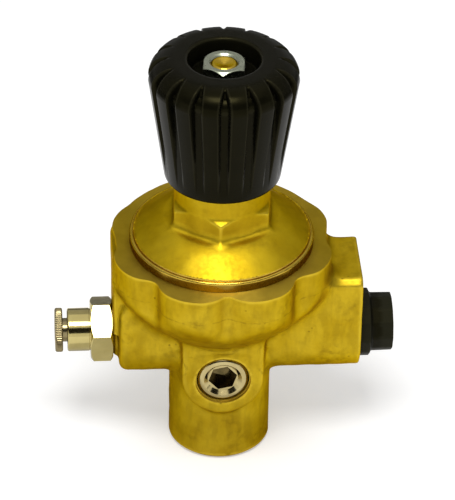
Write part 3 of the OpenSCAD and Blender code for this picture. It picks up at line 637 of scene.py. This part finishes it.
forging = dict(
    lobes=8, rimRadius=26.8, lobeRadius=9.0, notch=0.9, frontHollow=3.8, backHollow=0.2, rimHeight=6.2,
    bowlFoot=12.4, bowlHeight=16.6, fullness=1.5, stemRadius=12.1, footChamfer=0.8, armRadius=10.0,
    hoseArm=24.4, hoseArmDrop=7.0, blockDrop=6.3, blockChamfer=1.45, bossRadius=9.7, bossReach=13.2,
    bossDrop=10.0, padHalf=7.5, padRadius=6.3, padDrop=1.2, padStart=19, wave=0.06, step=0.45)
fillets = dict(bowl=1.5, stem=3.0, hoseTop=2.0, hoseEnd=2.6, blockTop=0.4, blockSide=0.35, blockEnd=0.8,
               arms=3.2, bossTop=1.6, bossFace=1.3, boss=1.8, padTop=1.0, padFace=0.9, pad=1.2)
rimZ = bodyTop - forging["rimHeight"]


def lobedOutline(x, y, s):
    centre = s.rimRadius - s.lobeRadius
    pitch = 2 * pi / s.lobes
    away = np.mod(np.arctan2(y, x), pitch) - pitch / 2
    beside = pitch - np.abs(away)
    r = np.hypot(x, y)
    lobe, following = (np.hypot(r * np.cos(a) - centre, r * np.sin(a)) for a in (away, beside))
    lobes = blendJoin(lobe - s.lobeRadius, following - s.lobeRadius, s.notch)
    discRadius = s.rimRadius - (s.frontHollow + s.backHollow) / 2
    disc = np.hypot(x, y - (s.frontHollow - s.backHollow) / 2) - discRadius
    return blendJoin(lobes, disc, s.notch)


def forgingParts(x, y, z):   # the shape, its distances from where the forms meet, and the rim's wall
    s, f = SimpleNamespace(**forging), SimpleNamespace(**fillets)
    r, aboutPort = np.hypot(x, y), np.hypot(y, z - portZ)
    t = np.clip((rimZ - z) / s.bowlHeight, 0, 1)
    wide = s.rimRadius + 0.2 - s.bowlFoot
    lean = 1 + (wide * s.fullness * t ** (s.fullness - 1) / s.bowlHeight) ** 2
    bowl = np.maximum(
        (r - s.bowlFoot - wide * (1 - t ** s.fullness)) / np.sqrt(lean), rimZ - s.bowlHeight - z)
    wall = lobedOutline(x, y, s)
    head = np.maximum(blendCut(wall, bowl, f.bowl), z - bodyTop - 1)
    shape = blendJoin(head, r - s.stemRadius, f.stem)
    sides = np.where(z > portZ, np.abs(y) - s.armRadius, aboutPort - s.armRadius)
    hose = blendCut(blendCut(sides, z - (rimZ - s.hoseArmDrop), f.hoseTop), -s.hoseArm - x, f.hoseEnd)
    blockTop = bodyTop - s.blockDrop
    corner = (np.abs(y) + z - s.armRadius - blockTop + s.blockChamfer) / sqrt(2)
    block = blendCut(blendCut(sides, z - blockTop, f.blockTop), corner, f.blockSide)
    block = blendCut(np.maximum(block, -x), x - armEnd - 0.12, f.blockEnd)
    arms = np.minimum(np.maximum(hose, x), block)
    seams = [shape - arms]
    shape = blendJoin(shape, arms, f.arms)
    boss = np.where(z > plugZ, np.abs(x), np.hypot(x, z - plugZ)) - s.bossRadius
    boss = blendCut(blendCut(boss, z - (rimZ - s.bossDrop), f.bossTop), -s.bossReach - y, f.bossFace)
    boss = np.maximum(boss, y)
    seams.append(shape - boss)
    shape = blendJoin(shape, boss, f.boss)
    pad = np.where(z > portZ, np.abs(y) - s.padHalf, aboutPort - s.padRadius)
    pad = np.maximum(pad, aboutPort - s.padRadius - np.maximum(z - portZ - 3, 0) * 4)
    pad = blendCut(blendCut(pad, z - (bodyTop - s.padDrop), f.padTop), -hoseFace - x, f.padFace)
    pad = np.maximum(pad, x + s.padStart)
    seams.append(shape - pad)
    return blendJoin(shape, pad, f.pad), np.stack(seams), wall


def forgingField(x, y, z):
    shape = forgingParts(x, y, z)[0]
    ripple = np.sin(x * 0.9 + 1.3 * np.sin(z * 0.5)) * np.sin(y * 0.8 + 0.7) * np.sin(z * 0.75 + x * 0.3)
    return np.maximum(shape + forging["wave"] * ripple, np.maximum(z - bodyTop - 1.5, -1.5 - z))


bores = dict(
    recess=18.85, chamber=15.0, chamberDepth=3.5, headRoom=6.17, headRoomDepth=2.5, nozzle=4.95,
    nozzleLength=9.0, poppetRoom=4.2, poppetFloor=26.4, passage=1.5, filterTop=16.5, filter=3.51,
    relief=5.06, reliefTop=10.3, inlet=4.46, inletLength=8.5, inletPitch=1.0, riserX=13.3, riser=1.1,
    sidePassage=1.3, gauge=5.9, gaugeLength=14.0, gaugePitch=1.337, hose=4.9, hoseLength=7.0,
    hoseSpot=7.4, plug=6.25, plugMouth=6.55, plugEnd=5.5, plugChamfer=0.7, crossHole=1.2, topFacing=45,
    stemFacing=40, armFacing=26)


def boreTools():   # the facing cuts first, then the bores
    b = SimpleNamespace(**bores)
    port, boss = (0, 0, portZ), (0, 0, plugZ)
    floor = ledge - b.chamberDepth
    head = floor - b.headRoomDepth
    seat = head - b.nozzleLength
    stack = spun("stack", [
        (b.passage, b.filterTop - 3), (b.passage, b.poppetFloor), (b.poppetRoom, b.poppetFloor),
        (b.poppetRoom, seat + 0.6), (b.nozzle, seat + 0.8), (b.nozzle, head), (b.headRoom, head),
        (b.headRoom, floor), (b.chamber, floor), (b.chamber, ledge), (b.recess, ledge),
        (b.recess, bodyTop - 0.5), (b.recess + 1.0, bodyTop + 0.5), (b.recess + 1.0, bodyTop + 3)])
    stem, chamfer = forging["stemRadius"], forging["footChamfer"]
    foot = spun(
        "foot", [(b.stemFacing, -6), (b.stemFacing, 4), (stem + 0.6, chamfer + 0.6), (stem - chamfer, 0)])
    thread = 0.55 * b.inletPitch
    wide = b.inlet + thread
    inlet = spun("inlet", [
        (wide + 0.3, -1), (wide + 0.3, 0), (wide, 0.35), *rows(wide, 0.35, b.inletLength, 0.1),
        (wide, b.inletLength), (b.relief, b.inletLength + 0.02), (b.relief, b.reliefTop),
        (b.filter, b.reliefTop), (b.filter, b.filterTop)], 96)
    threaded(inlet, b.inletPitch, thread, 0.2, b.inletLength + 0.6, "machinedBrass")
    thread = 0.5 * b.gaugePitch
    wide = b.gauge + thread
    start = armEnd - b.gaugeLength
    gauge = spun("gauge", [(b.gauge, start), (b.gauge, start + 2), (wide, start + 2.3),
                           *rows(wide, start + 2.3, armEnd - 0.4, 0.13), (wide, armEnd - 0.4),
                           (wide + 0.6, armEnd + 0.2), (wide + 0.6, armEnd + 2)], 96)
    threaded(gauge, b.gaugePitch, thread, start + 2, armEnd + 0.3, "machinedBrass")
    hoseEnd = hoseFace - b.hoseLength
    made = [rod(b.topFacing, bodyTop, bodyTop + 8), foot, stack, inlet, turnTo(gauge, "+X", port)]
    made += [rod(radius, low, high, axis, origin) for radius, low, high, axis, origin in (
        (b.armFacing, armEnd, armEnd + 8, "+X", port),
        (b.sidePassage, b.riserX, start + 1, "+X", port),
        (b.hose, hoseEnd, hoseFace + 4, "-X", port),
        (b.hoseSpot, hoseFace, hoseFace + 4, "-X", port),
        (b.sidePassage, b.riserX, hoseEnd + 1, "-X", port),
        (b.riser, portZ, floor + 0.5, "+Z", (-b.riserX, 0, 0)),
        (b.riser, portZ, floor + 0.5, "+Z", (b.riserX, 0, 0)),
        (b.plug, b.plugEnd, 30, "-Y", boss),
        (b.plugMouth, forging["bossReach"] - b.plugChamfer, 30, "-Y", boss),
        (b.crossHole, 0, b.plugEnd + 1, "-Y", (0, 0, plugZ + 3)))]
    return made


def markSeams(piece):   # signed distances from the parting line and from where the forms meet
    x, y, z = readPoints(piece.data, "co").T / mm
    _, seams, wall = forgingParts(x, y, z)
    nearest = seams[np.abs(seams).argmin(0), np.arange(len(x))]
    onRim = (np.abs(wall) < 1.2) & (np.hypot(x, y) < forging["rimRadius"] + 0.6)
    markPoints(piece.data, "parting", np.where(onRim, z - rimZ + 0.1, 5))
    markPoints(piece.data, "meeting", np.clip(nearest, -5, 5))


body = fieldMesh(
    "forgedBody", forgingField, (-28, -28.6, -2.1), (35, 28.6, bodyTop + 2.1), forging["step"])
print("body forged:", len(body.data.polygons), "faces")
cut(paint(body, "forgedBrass"), boreTools(), "machinedBrass")
markSeams(body)
shade(markRelief(body), 32)
addPiece(body, "housing", "forged_brass", "body")
print("body machined:", len(body.data.polygons), "faces")


# bonnet, cast and then turned below the hexagon

bonnetSizes = dict(
    flange=21.6, flangeTop=58.9, beadWidth=0.55, beadAcross=0.5, beadRise=0.58, beadDrop=0.6,
    grooveDepth=0.16, domeRadius=20.6, domeTop=63.7, domeRun=7.3, domeSlope=0.83, domeDrop=0.6,
    fullness=1.3, flats=22.0, hexTop=bonnetTop - 20.4, hexEdge=0.45, hexFillet=2.0, angle=-5, neck=11.2,
    neckEdge=0.9, neckFillet=0.5, coneSlope=0.75, coneEdge=0.3, clamp=clampRadius,
    chamber=15.0, springRoom=8.3, springRoomTop=bonnetTop - 21.1, spindleBore=6.05, wave=0.025,
    reach=22.9, step=0.3)


def bonnetField(x, y, z):
    s = SimpleNamespace(**bonnetSizes)
    r = np.hypot(x, y)
    t = np.clip((s.domeRadius - r) / s.domeRun, 0, 1.6)
    dome = z - s.flangeTop - (s.domeTop - s.flangeTop) * (1 - np.maximum(1 - t, 0) ** s.fullness)
    drop = s.domeDrop * np.clip((r - s.domeRadius + 0.1) / 0.5, 0, 1)
    dome = np.maximum(dome * s.domeSlope - drop, r - s.flange - 1)
    turns = [radians(s.angle + 60 * k) for k in range(6)]
    flats = [x * cos(a) + y * sin(a) - s.flats / 2 for a in turns]
    hexagon = flats[0]
    for flat in flats[1:]:
        hexagon = blendCut(hexagon, flat, s.hexEdge)
    cone = (z - s.hexTop + (r - s.neck) * s.coneSlope) / hypot(1, s.coneSlope)
    hexagon = np.maximum(blendCut(hexagon, cone, s.coneEdge), z - s.hexTop)
    neck = blendCut(r - s.neck, z - bonnetTop, s.neckEdge)
    shape = blendJoin(blendJoin(dome, hexagon, s.hexFillet), neck, s.neckFillet)
    ripple = np.sin(x * 0.8 + 0.4) * np.sin(y * 0.9 + 1.1) * np.sin(z * 0.8)
    asCast = (r > s.neck + 0.3) * (r < s.domeRadius - 0.5)
    return np.maximum(shape + s.wave * ripple * asCast, bonnetFoot - 1 - z)


def makeBonnet():
    s = SimpleNamespace(**bonnetSizes)
    bonnet = fieldMesh("bonnetCasting", bonnetField, (-s.reach, -s.reach, bonnetFoot - 1.6),
                       (s.reach, s.reach, bonnetTop + 0.6), s.step)
    bead = [(s.flange - s.beadAcross + s.beadAcross * cos(radians(a)),
             s.flangeTop - s.beadDrop + s.beadRise * sin(radians(a))) for a in range(0, 91, 15)]
    beadIn, groove = s.flange - s.beadWidth, s.flangeTop - s.grooveDepth
    turned = spun("turned", [
        (s.clamp - 0.5, bonnetFoot), (s.clamp, bonnetFoot + 0.5), (s.clamp, bodyTop),
        (s.flange - 0.15, bodyTop), (s.flange, bodyTop + 0.15), *bead, (beadIn, s.flangeTop - 0.03),
        (beadIn - 0.06, groove), (beadIn - 0.2, groove), (beadIn - 0.45, s.flangeTop + 1),
        (beadIn - 0.45, bonnetTop + 3)], 256)
    cut(paint(bonnet, "castBrass"), [turned], "turnedBrass", "INTERSECT")
    room = spun("room", [
        (s.chamber, bonnetFoot - 2), (s.chamber, bonnetFoot + 3), (s.springRoom, s.flangeTop),
        (s.springRoom, s.springRoomTop), (s.spindleBore, s.springRoomTop),
        (s.spindleBore, bonnetTop - 0.6), (s.spindleBore + 1, bonnetTop + 0.4)], 160)
    cut(bonnet, [room], "turnedBrass")
    bonnet.data.materials.append(finish["shadedBandBrass"])
    for face in bonnet.data.polygons:   # the flange's turned band, in a darker copy of the turned brass: painted shade
        out, up = hypot(face.center.x, face.center.y) / mm, face.center.z / mm
        if out > s.flange - 0.1 and up < s.flangeTop - s.beadDrop:
            face.material_index = len(bonnet.data.materials) - 1
    return addPiece(shade(markRelief(bonnet), 34), "housing", "cast_brass", "bonnet")


print("bonnet made:", len(makeBonnet().data.polygons), "faces")


# knob, moulded; heights are above its foot

knobSizes = dict(foot=13.5, widest=17.3, sideHeight=26.0, land=11.5, recess=8.4, recessDepth=5.0,
                 webHeight=20.1, cavity=11.6, drive=8.09, flutes=16, angle=-3, floorWidth=1.9,
                 flankWidth=0.55, depth=1.75, freeHeight=2.8, runOut=1.0, crownSteps=18, crownEase=0.85,
                 landRings=(10.8, 10.0, 9.3, 8.0), columns=40)


def makeKnob():
    s = SimpleNamespace(**knobSizes)
    high = knobHigh - knobLow
    rise, run = high - s.sideHeight, s.widest - s.land

    def side(h):
        return s.foot + (s.widest - s.foot) * h / s.sideHeight

    outline = [(s.foot - 0.45, 0), (s.foot - 0.15, 0.12), (s.foot + 0.02, 0.35), (side(0.7), 0.7),
               *rows(side, 0.7, s.sideHeight - 0.2, 0.62), (side(s.sideHeight - 0.2), s.sideHeight - 0.2),
               (s.widest, s.sideHeight)]
    for i in range(1, s.crownSteps + 1):
        t = pi / 2 * (i / s.crownSteps) ** s.crownEase
        outline.append((s.land + run * cos(t), s.sideHeight + rise * sin(t)))
    outline += [(r, high) for r in s.landRings]
    knob = spun("flutedKnob", [(r, h + knobLow) for r, h in outline], s.flutes * s.columns)
    counts = dict(count=s.flutes, climb=0, offset=0.5 - s.flutes * (s.angle - 90) / 360)
    lengths = dict(pitch=2 * pi * s.widest / s.flutes, floor=s.floorWidth / 2, flank=s.flankWidth,
                   depth=s.depth, low=knobLow + s.freeHeight - 0.6, full=knobLow + s.sideHeight,
                   high=knobHigh - s.runOut, end=knobHigh - 0.004)
    runTree(knob, ribsTree, "knobPlastic", counts, lengths)
    bottom = knobHigh - s.recessDepth
    recess = spun("recess", [(s.recess - 0.25, bottom, 0.5), (s.recess, knobHigh - 0.35, 0.5),
                             (s.recess + 0.5, knobHigh + 0.05), (s.recess + 0.5, knobHigh + 2)], 160)
    web = knobLow + s.webHeight
    cavity = spun("cavity", [(s.cavity + 0.4, knobLow - 2), (s.cavity + 0.4, knobLow),
                             (s.cavity, knobLow + 0.4), (s.cavity, web)], 160)
    square = prism("square", polygonOutline(4, s.drive, s.angle + 3), web - 2, knobHigh)
    cut(knob, [recess, cavity, square], "knobPlastic")
    return addPiece(shade(markRelief(knob, 1), 42), "control_knob", "knob_plastic", "knob")


print("knob moulded:", len(makeKnob().data.polygons), "faces")


# knob nut and spindle

nutSizes = dict(
    flats=9.39, angle=-7, topRadius=4.6, footRadius=4.85, coneSlope=0.83, bore=3.0, countersink=3.5)


def makeNut():
    s = SimpleNamespace(**nutSizes)
    wide, sink = s.flats, s.countersink
    nut = prism("knobNut", polygonOutline(6, wide, s.angle), nutLow, nutHigh)
    cone = spun("cone", [
        (s.footRadius, nutLow), (wide, nutLow + (wide - s.footRadius) * s.coneSlope),
        (wide, nutHigh - (wide - s.topRadius) * s.coneSlope), (s.topRadius, nutHigh)], 96)
    cut(nut, [cone], "zincSteel", "INTERSECT")
    hole = spun("hole", [
        (s.bore, nutLow - 1), (s.bore, nutHigh - (sink - s.bore)), (sink + 0.5, nutHigh + 0.5)], 64)
    cut(nut, [hole], "zincSteel")
    return addPiece(
        bevelEdges(paint(nut, "zincSteel"), 0.1, 18), "control_knob", "zinc_steel", "knob_nut")


spindleSizes = dict(radius=6.0, foot=span("spindle", 2)[0], top=span("spindle", 2)[1], threadTop=89.0,
                    pitch=1.5, threadDepth=0.75, drive=7.99, driveTop=101.0, stud=2.95, dimple=2.25,
                    dimpleDepth=0.5, ball=2.03, ballZ=67.45, seatStart=0.124, seatSteps=8)


def makeSpindle():
    s = SimpleNamespace(**spindleSizes)
    web = knobLow + knobSizes["webHeight"]
    shaft = spun("spindleScrew", [
        (s.radius - 0.8, s.foot), (s.radius, s.foot + 0.8),
        *rows(s.radius, s.foot + 0.8, s.threadTop, 0.16), (s.radius, s.threadTop), (s.radius, web - 0.3),
        (s.radius - 0.3, web)], 96)
    threaded(shaft, s.pitch, s.threadDepth, s.foot + 0.5, s.threadTop, "turnedBrass")
    seat = [(sqrt(s.ball ** 2 - (s.foot - s.ballZ) ** 2), s.foot - 1)]
    for i in range(s.seatSteps):
        part = i / s.seatSteps
        t = pi / 2 * part * 0.999 + s.seatStart * (1 - part)
        seat.append((s.ball * cos(t), s.ballZ + s.ball * sin(t)))
    cut(shaft, [spun("ball", seat + [(0, s.ballZ + s.ball)], 48)], "turnedBrass")
    square = bevelEdges(prism("square", polygonOutline(4, s.drive), web - 1.5, s.driveTop), 0.15)
    stud = spun("stud", [(s.stud, web), (s.stud, s.top - 0.35, 0.2), (s.stud - 0.35, s.top, 0.12),
                         (s.dimple, s.top, 0.1), (0.35, s.top - s.dimpleDepth, 0.2)], 64)
    for part in (square, stud):
        cut(shaft, [part], "turnedBrass", "UNION")
    return addPiece(shade(paint(shaft, "turnedBrass"), 30), "control_knob", "turned_brass", "spindle")


makeNut()
makeSpindle()
print("nut and spindle made")


# hose fitting, with its release ring; heights are along the port's axis

fittingSizes = dict(
    thread=4.85, threadStart=19.7, threadPitch=0.907, threadDepth=0.5, flats=13.8, angle=21, hexEnd=31.0,
    hexEdge=0.75, hexFace=6.8, collar=5.15, collarEnd=36.5, collarEdge=0.45, mouth=2.9, cartridge=3.45,
    tube=2.1, tubeStop=28.0, passage=1.3, groove=6.2, grooveDepth=0.9)


def makeFitting():
    s = SimpleNamespace(**fittingSizes)
    wide, tubeEnd, hub = s.hexFace + 1.3, s.tubeStop + 0.45, s.thread - 0.1
    fitting = prism("hoseFitting", polygonOutline(6, s.flats, s.angle), hoseFace, s.hexEnd)
    cone = spun("cone", [(s.hexFace, hoseFace), (wide, hoseFace + s.hexEdge),
                         (wide, s.hexEnd - s.hexEdge), (s.hexFace, s.hexEnd)], 192)
    cut(fitting, [cone], "nickel", "INTERSECT")
    bevelEdges(fitting, 0.4, 14, 4)
    tail = spun("tail", [(s.thread - 0.5, s.threadStart), (s.thread, s.threadStart + 0.5),
                         *rows(s.thread, s.threadStart + 0.5, hoseFace - 0.4, 0.1),
                         (s.thread, hoseFace - 0.4), (s.thread, hoseFace + 1)], 96)
    threaded(tail, s.threadPitch, s.threadDepth, s.threadStart, hoseFace - 0.3, "nickel")
    collar = spun("collar", [(s.collar - 0.12, s.hexEnd - 1), (s.collar - 0.12, s.hexEnd + 0.25),
                             (s.collar, s.hexEnd + 0.35), (s.collar, s.collarEnd, s.collarEdge)], 160, 5)
    bore = spun("bore", [
        (s.passage, 15), (s.passage, s.tubeStop), (s.tube, s.tubeStop), (s.tube, tubeEnd),
        (s.cartridge, tubeEnd), (s.cartridge, s.collarEnd - 2), (s.mouth, s.collarEnd - 1),
        (s.mouth, s.collarEnd - 0.3), (s.mouth + 0.5, s.collarEnd + 0.2),
        (s.mouth + 0.5, s.collarEnd + 2)])
    groove = spun("groove", [(s.groove, hoseFace - 2), (s.groove, hoseFace + s.grooveDepth)])
    cut(groove, [rod(hub, hoseFace - 3, hoseFace + 2)])
    cut(fitting, [groove], "nickel")
    cut(fitting, [collar, tail], "nickel", "UNION")
    cut(fitting, [bore], "nickel")
    turnTo(weighNormals(shade(paint(fitting, "nickel"), 28)), "-X", (0, 0, portZ))
    return addPiece(fitting, "housing", "nickel", "fitting_body")


ringSizes = dict(inner=37.55, outer=39.45, radius=5.25, edge=0.35, teeth=60, toothDepth=0.16, sleeve=2.85,
                 barb=3.35, sleeveEnd=34.6, tube=2.1, mouth=2.65, slot=0.7, slotStart=36.1, slotEnd=32.1)


def makeRing():
    s = SimpleNamespace(**ringSizes)
    ring = spun("releaseRing", [
        (s.radius - s.edge, s.inner), (s.radius - 0.1, s.inner + 0.12), (s.radius, s.inner + 0.32),
        *rows(s.radius, s.inner + 0.32, s.outer - 0.45, 0.2), (s.radius, s.outer - 0.45),
        (s.radius - 0.14, s.outer - 0.18), (s.radius - 0.42, s.outer)], s.teeth * 10)
    pitch = 2 * pi * s.radius / s.teeth
    lengths = dict(pitch=pitch, floor=0.04, flank=pitch * 0.42, depth=s.toothDepth, low=s.inner - 0.1,
                   full=s.inner + 0.25, high=s.outer - 0.5, end=s.outer - 0.1)
    runTree(ring, ribsTree, "nickel", dict(count=s.teeth, climb=0, offset=0), lengths)
    sleeve = spun("sleeve", [(s.barb - 0.1, s.sleeveEnd - 0.6), (s.barb, s.sleeveEnd - 0.5),
                             (s.sleeve, s.sleeveEnd + 0.05), (s.sleeve, s.inner + 0.5)], 96)
    cut(ring, [sleeve], "nickel", "UNION")
    bore = spun("bore", [
        (s.tube, 30), (s.tube, s.outer - 0.6), (s.mouth, s.outer + 0.05), (s.mouth, s.outer + 2)], 96)
    cut(ring, [bore], "nickel")
    for x, y in ((5, s.slot / 2), (s.slot / 2, 5)):
        slot = prism("slot", [(-x, -y), (x, -y), (x, y), (-x, y)], s.slotEnd, s.slotStart)
        cut(ring, [slot], "nickel")
    turnTo(shade(paint(ring, "ringNickel"), 40), "-X", (0, 0, portZ))
    return addPiece(ring, "release", "nickel", "release_ring")


makeFitting()
makeRing()
print("hose fitting made")


# front plug and transit cap

plugSizes = dict(radius=6.2, face=-span("front_plug", 1)[0], foot=-span("front_plug", 1)[1], edge=0.85,
                 flats=6.0, angle=12, depth=4.4, chamfer=4.5, drill=2.6)


def makePlug():
    s = SimpleNamespace(**plugSizes)
    bottom = s.face - s.depth
    plug = spun("frontPlug", [(s.radius - 0.3, s.foot), (s.radius, s.foot + 0.3),
                              (s.radius, s.face - s.edge, 0.9), (s.radius - s.edge, s.face, 0.9)], 160)
    socket = prism("socket", polygonOutline(6, s.flats, s.angle - 30), bottom, s.face + 1)
    chamfer = spun("chamfer", [(s.chamfer - 0.9, s.face - 0.9), (s.chamfer + 1, s.face + 1)], 96)
    drill = spun("drill", [(0, bottom - 0.5), (s.drill, bottom + 0.3), (s.drill, s.face - 3)], 48)
    cut(paint(plug, "plugMetal"), [chamfer], "plugMetal")
    # the socket and its drilled floor take the darker copy: painted shade
    cut(plug, [socket, drill], "shadedSocketMetal")
    turnTo(shade(plug, 28), "-Y", (0, 0, plugZ))
    return addPiece(plug, "housing", "nickel", "front_plug")


capSizes = dict(shank=5.85, shankLength=8.0, shankBore=4.4, shankWall=1.5, flange=8.1, flangeWidth=3.0,
                bevel=0.4, grip=7.0, recess=5.1, recessDepth=4.0, edge=0.12, flats=12, flatDepth=0.022)


def makeCap():
    s = SimpleNamespace(**capSizes)
    end = span("port_cap", 0)[1]
    start, top = armEnd - s.shankLength, armEnd + s.flangeWidth
    cap = spun("transitCap", [
        (s.shank - 0.5, start), (s.shank, start + 0.5), (s.shank, armEnd), (s.flange, armEnd, 0.25),
        (s.flange, top - s.bevel, 0.3), (s.grip + 0.35, top - 0.1, 0.25), (s.grip, top + 0.25, 0.3),
        (s.grip - 0.08, end, s.edge), (s.recess + 0.05, end, 0.3),
        (s.recess - 0.15, end - s.recessDepth, 0.5)], 240)
    pitch = 2 * pi / s.flats
    for corner in cap.data.vertices:   # flats round the flange and the grip
        x, y, z = corner.co
        if z > (armEnd - 0.01) * mm and hypot(x, y) > (s.recess + 0.8) * mm:
            off = atan2(y, x) % pitch - pitch / 2
            shrink = min(1, (1 - s.flatDepth) / cos(off))
            corner.co = (x * shrink, y * shrink, z)
    hollow = spun("hollow", [(s.shankBore + 0.1, start - 1), (s.shankBore, armEnd - s.shankWall)], 96)
    cut(cap, [hollow], "capPlastic")
    turnTo(shade(markRelief(paint(cap, "capPlastic"), 1), 50), "+X", (0, 0, portZ))
    return addPiece(cap, "cap", "cap_plastic", "port_cap")


makePlug()
makeCap()
print("plug and cap made")


# springs

mainSpring = dict(name="mainSpring", turns=4.5, radius=6.65, wire=0.75)
poppetSpring = dict(name="poppetSpring", turns=5.0, radius=2.25, wire=0.25)


def makeSpring(sizes, node):
    s = SimpleNamespace(**sizes)
    foot, top = span(node, 2)
    length = top - foot
    spring = makeMesh(s.name, [(0, 0, 0)], [])
    runTree(spring, coilTree, "springSteel", dict(turns=s.turns), dict(
        radius=s.radius, wire=s.wire, rise=length - 2 * s.wire, foot=foot + s.wire))
    addPiece(shade(spring, 50), "housing", "spring_steel", node)
    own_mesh(spring)


makeSpring(mainSpring, "main_spring")
makeSpring(poppetSpring, "poppet_spring")
print("springs wound")


# finishes of the pieces inside

inside = {
    "machinedBrass": ["diaphragm_pusher", "nozzle", "poppet", "opening_pin"],
    "zincSteel": ["slip_ring", "diaphragm_plate", "spring_plate"],
    "ballSteel": ["thrust_ball", "valve_pin"], "seatPlastic": ["poppet_seat"],
    "filterBronze": ["inlet_filter"],
    "blackRubber": ["diaphragm", "inlet_seal", "front_plug_seal", "fitting_face_seal", "tube_seal"]}
for look, names in inside.items():
    for name in names:
        paint(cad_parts[name], look)
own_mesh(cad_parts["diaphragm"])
print("inside pieces painted")


# floor, light and what the metal reflects

# a card has its middle and half turn, its radius, low and high edge, and its grey
studio = dict(
    floorSize=6.0, floorColour=0.8, floorGlow=0.32, worldLight=0.55, keyPower=6.0, keySize=(0.5, 0.34),
    keyDistance=1.0, keyElevation=66, keyAzimuth=-6, aimHeight=0.055,
    frontCard=(0, 90, 1.25, 0.36, 1.25, 0.03), lowCard=(180, 110, 0.26, 0.0, 0.1, 0.18),
    # the foot card's middle and radius, and its grey, make a painted shadow on the floor, seen only in
    # reflections
    backCard=(180, 110, 0.45, 0.1, 0.72, 0.5), cardSteps=24, footShadowCard=(-14, 0, 42), footShadowGrey=0.74)


def behindScene(tree):   # 1 where the background shows: straight to the camera, and in metal or glass
    path = wire(tree, "ShaderNodeLightPath").outputs
    seen = calc("MAXIMUM", path["Is Camera Ray"], path["Is Glossy Ray"])
    return calc("MAXIMUM", seen, path["Is Transmission Ray"])


def makeFloor():
    half = studio["floorSize"] / 2 / mm
    corners = [(-half, -half), (half, -half), (half, half), (-half, half)]
    floor = makeMesh("floor", [(x, y, -0.05) for x, y in corners], [(0, 1, 2, 3)])
    material, tree, shader = newMaterial("paleFloor")
    tree.nodes.remove(shader)
    grey, glow = studio["floorColour"], calc("MULTIPLY", behindScene(tree), studio["floorGlow"])
    matt = wire(tree, "ShaderNodeBsdfDiffuse", {"Color": (grey, grey, grey, 1)})
    shown = wire(tree, "ShaderNodeEmission", {"Strength": glow})
    both = wire(tree, "ShaderNodeAddShader", {0: matt.outputs[0], 1: shown.outputs[0]})
    feed(tree.nodes["Material Output"], {0: both.outputs[0]})
    floor.data.materials.append(material)


def makeCard(name):   # a curved card that only reflections see
    centre, halfTurn, radius, low, high, grey = studio[name]
    count = studio["cardSteps"]
    angles = [radians(centre + halfTurn * (2 * i / count - 1)) for i in range(count + 1)]
    points = [(radius * sin(a), -radius * cos(a), z) for z in (low, high) for a in angles]
    faces = [(i, i + 1, count + 2 + i, count + 1 + i) for i in range(count)]
    cardFinish(makeMesh(name, np.array(points) / mm, faces), grey)


def makeFootShadowCard():   # a painted shadow on the floor round the stem, seen only in reflections: it darkens what the stem reflects of the floor
    x, y, radius = studio["footShadowCard"]
    sides = 2 * studio["cardSteps"]
    angles = np.arange(sides) * pi / studio["cardSteps"]
    outline = [(x + radius * cos(a), y + radius * sin(a), 0.2) for a in angles]
    cardFinish(makeMesh("footShadowCard", outline, [tuple(range(sides))]), studio["footShadowGrey"])


def cardFinish(card, grey):
    material, _, shader = newMaterial(card.name)
    feed(shader, {"Base Color": (grey, grey, grey, 1), "Roughness": 1, "Specular IOR Level": 0})
    card.data.materials.append(material)
    card.visible_camera = card.visible_diffuse = card.visible_shadow = False


def makeLight():
    data = bpy.data.lights.new("key", "AREA")
    data.shape, data.energy = "RECTANGLE", studio["keyPower"]
    data.size, data.size_y = studio["keySize"]
    lamp = bpy.data.objects.new("key", data)
    way = wayTo(radians(studio["keyElevation"]), radians(studio["keyAzimuth"]))
    lamp.location = Vector((0, 0, studio["aimHeight"])) + way * studio["keyDistance"]
    lamp.rotation_euler = way.to_track_quat("Z", "Y").to_euler()
    scene.collection.objects.link(lamp)


def makeWorld():
    world = bpy.data.worlds.new("paleRoom")
    world.use_nodes = True
    tree = world.node_tree
    strength = mapped(behindScene(tree), 0.0, 1.0, studio["worldLight"], 1.0)
    feed(tree.nodes["Background"], {"Color": (1, 1, 1, 1), "Strength": strength})
    scene.world = world


makeFloor()
makeWorld()
for card in ("frontCard", "lowCard", "backCard"):
    makeCard(card)
makeFootShadowCard()
makeLight()
scene.view_settings.view_transform = "Standard"
print("stage set")
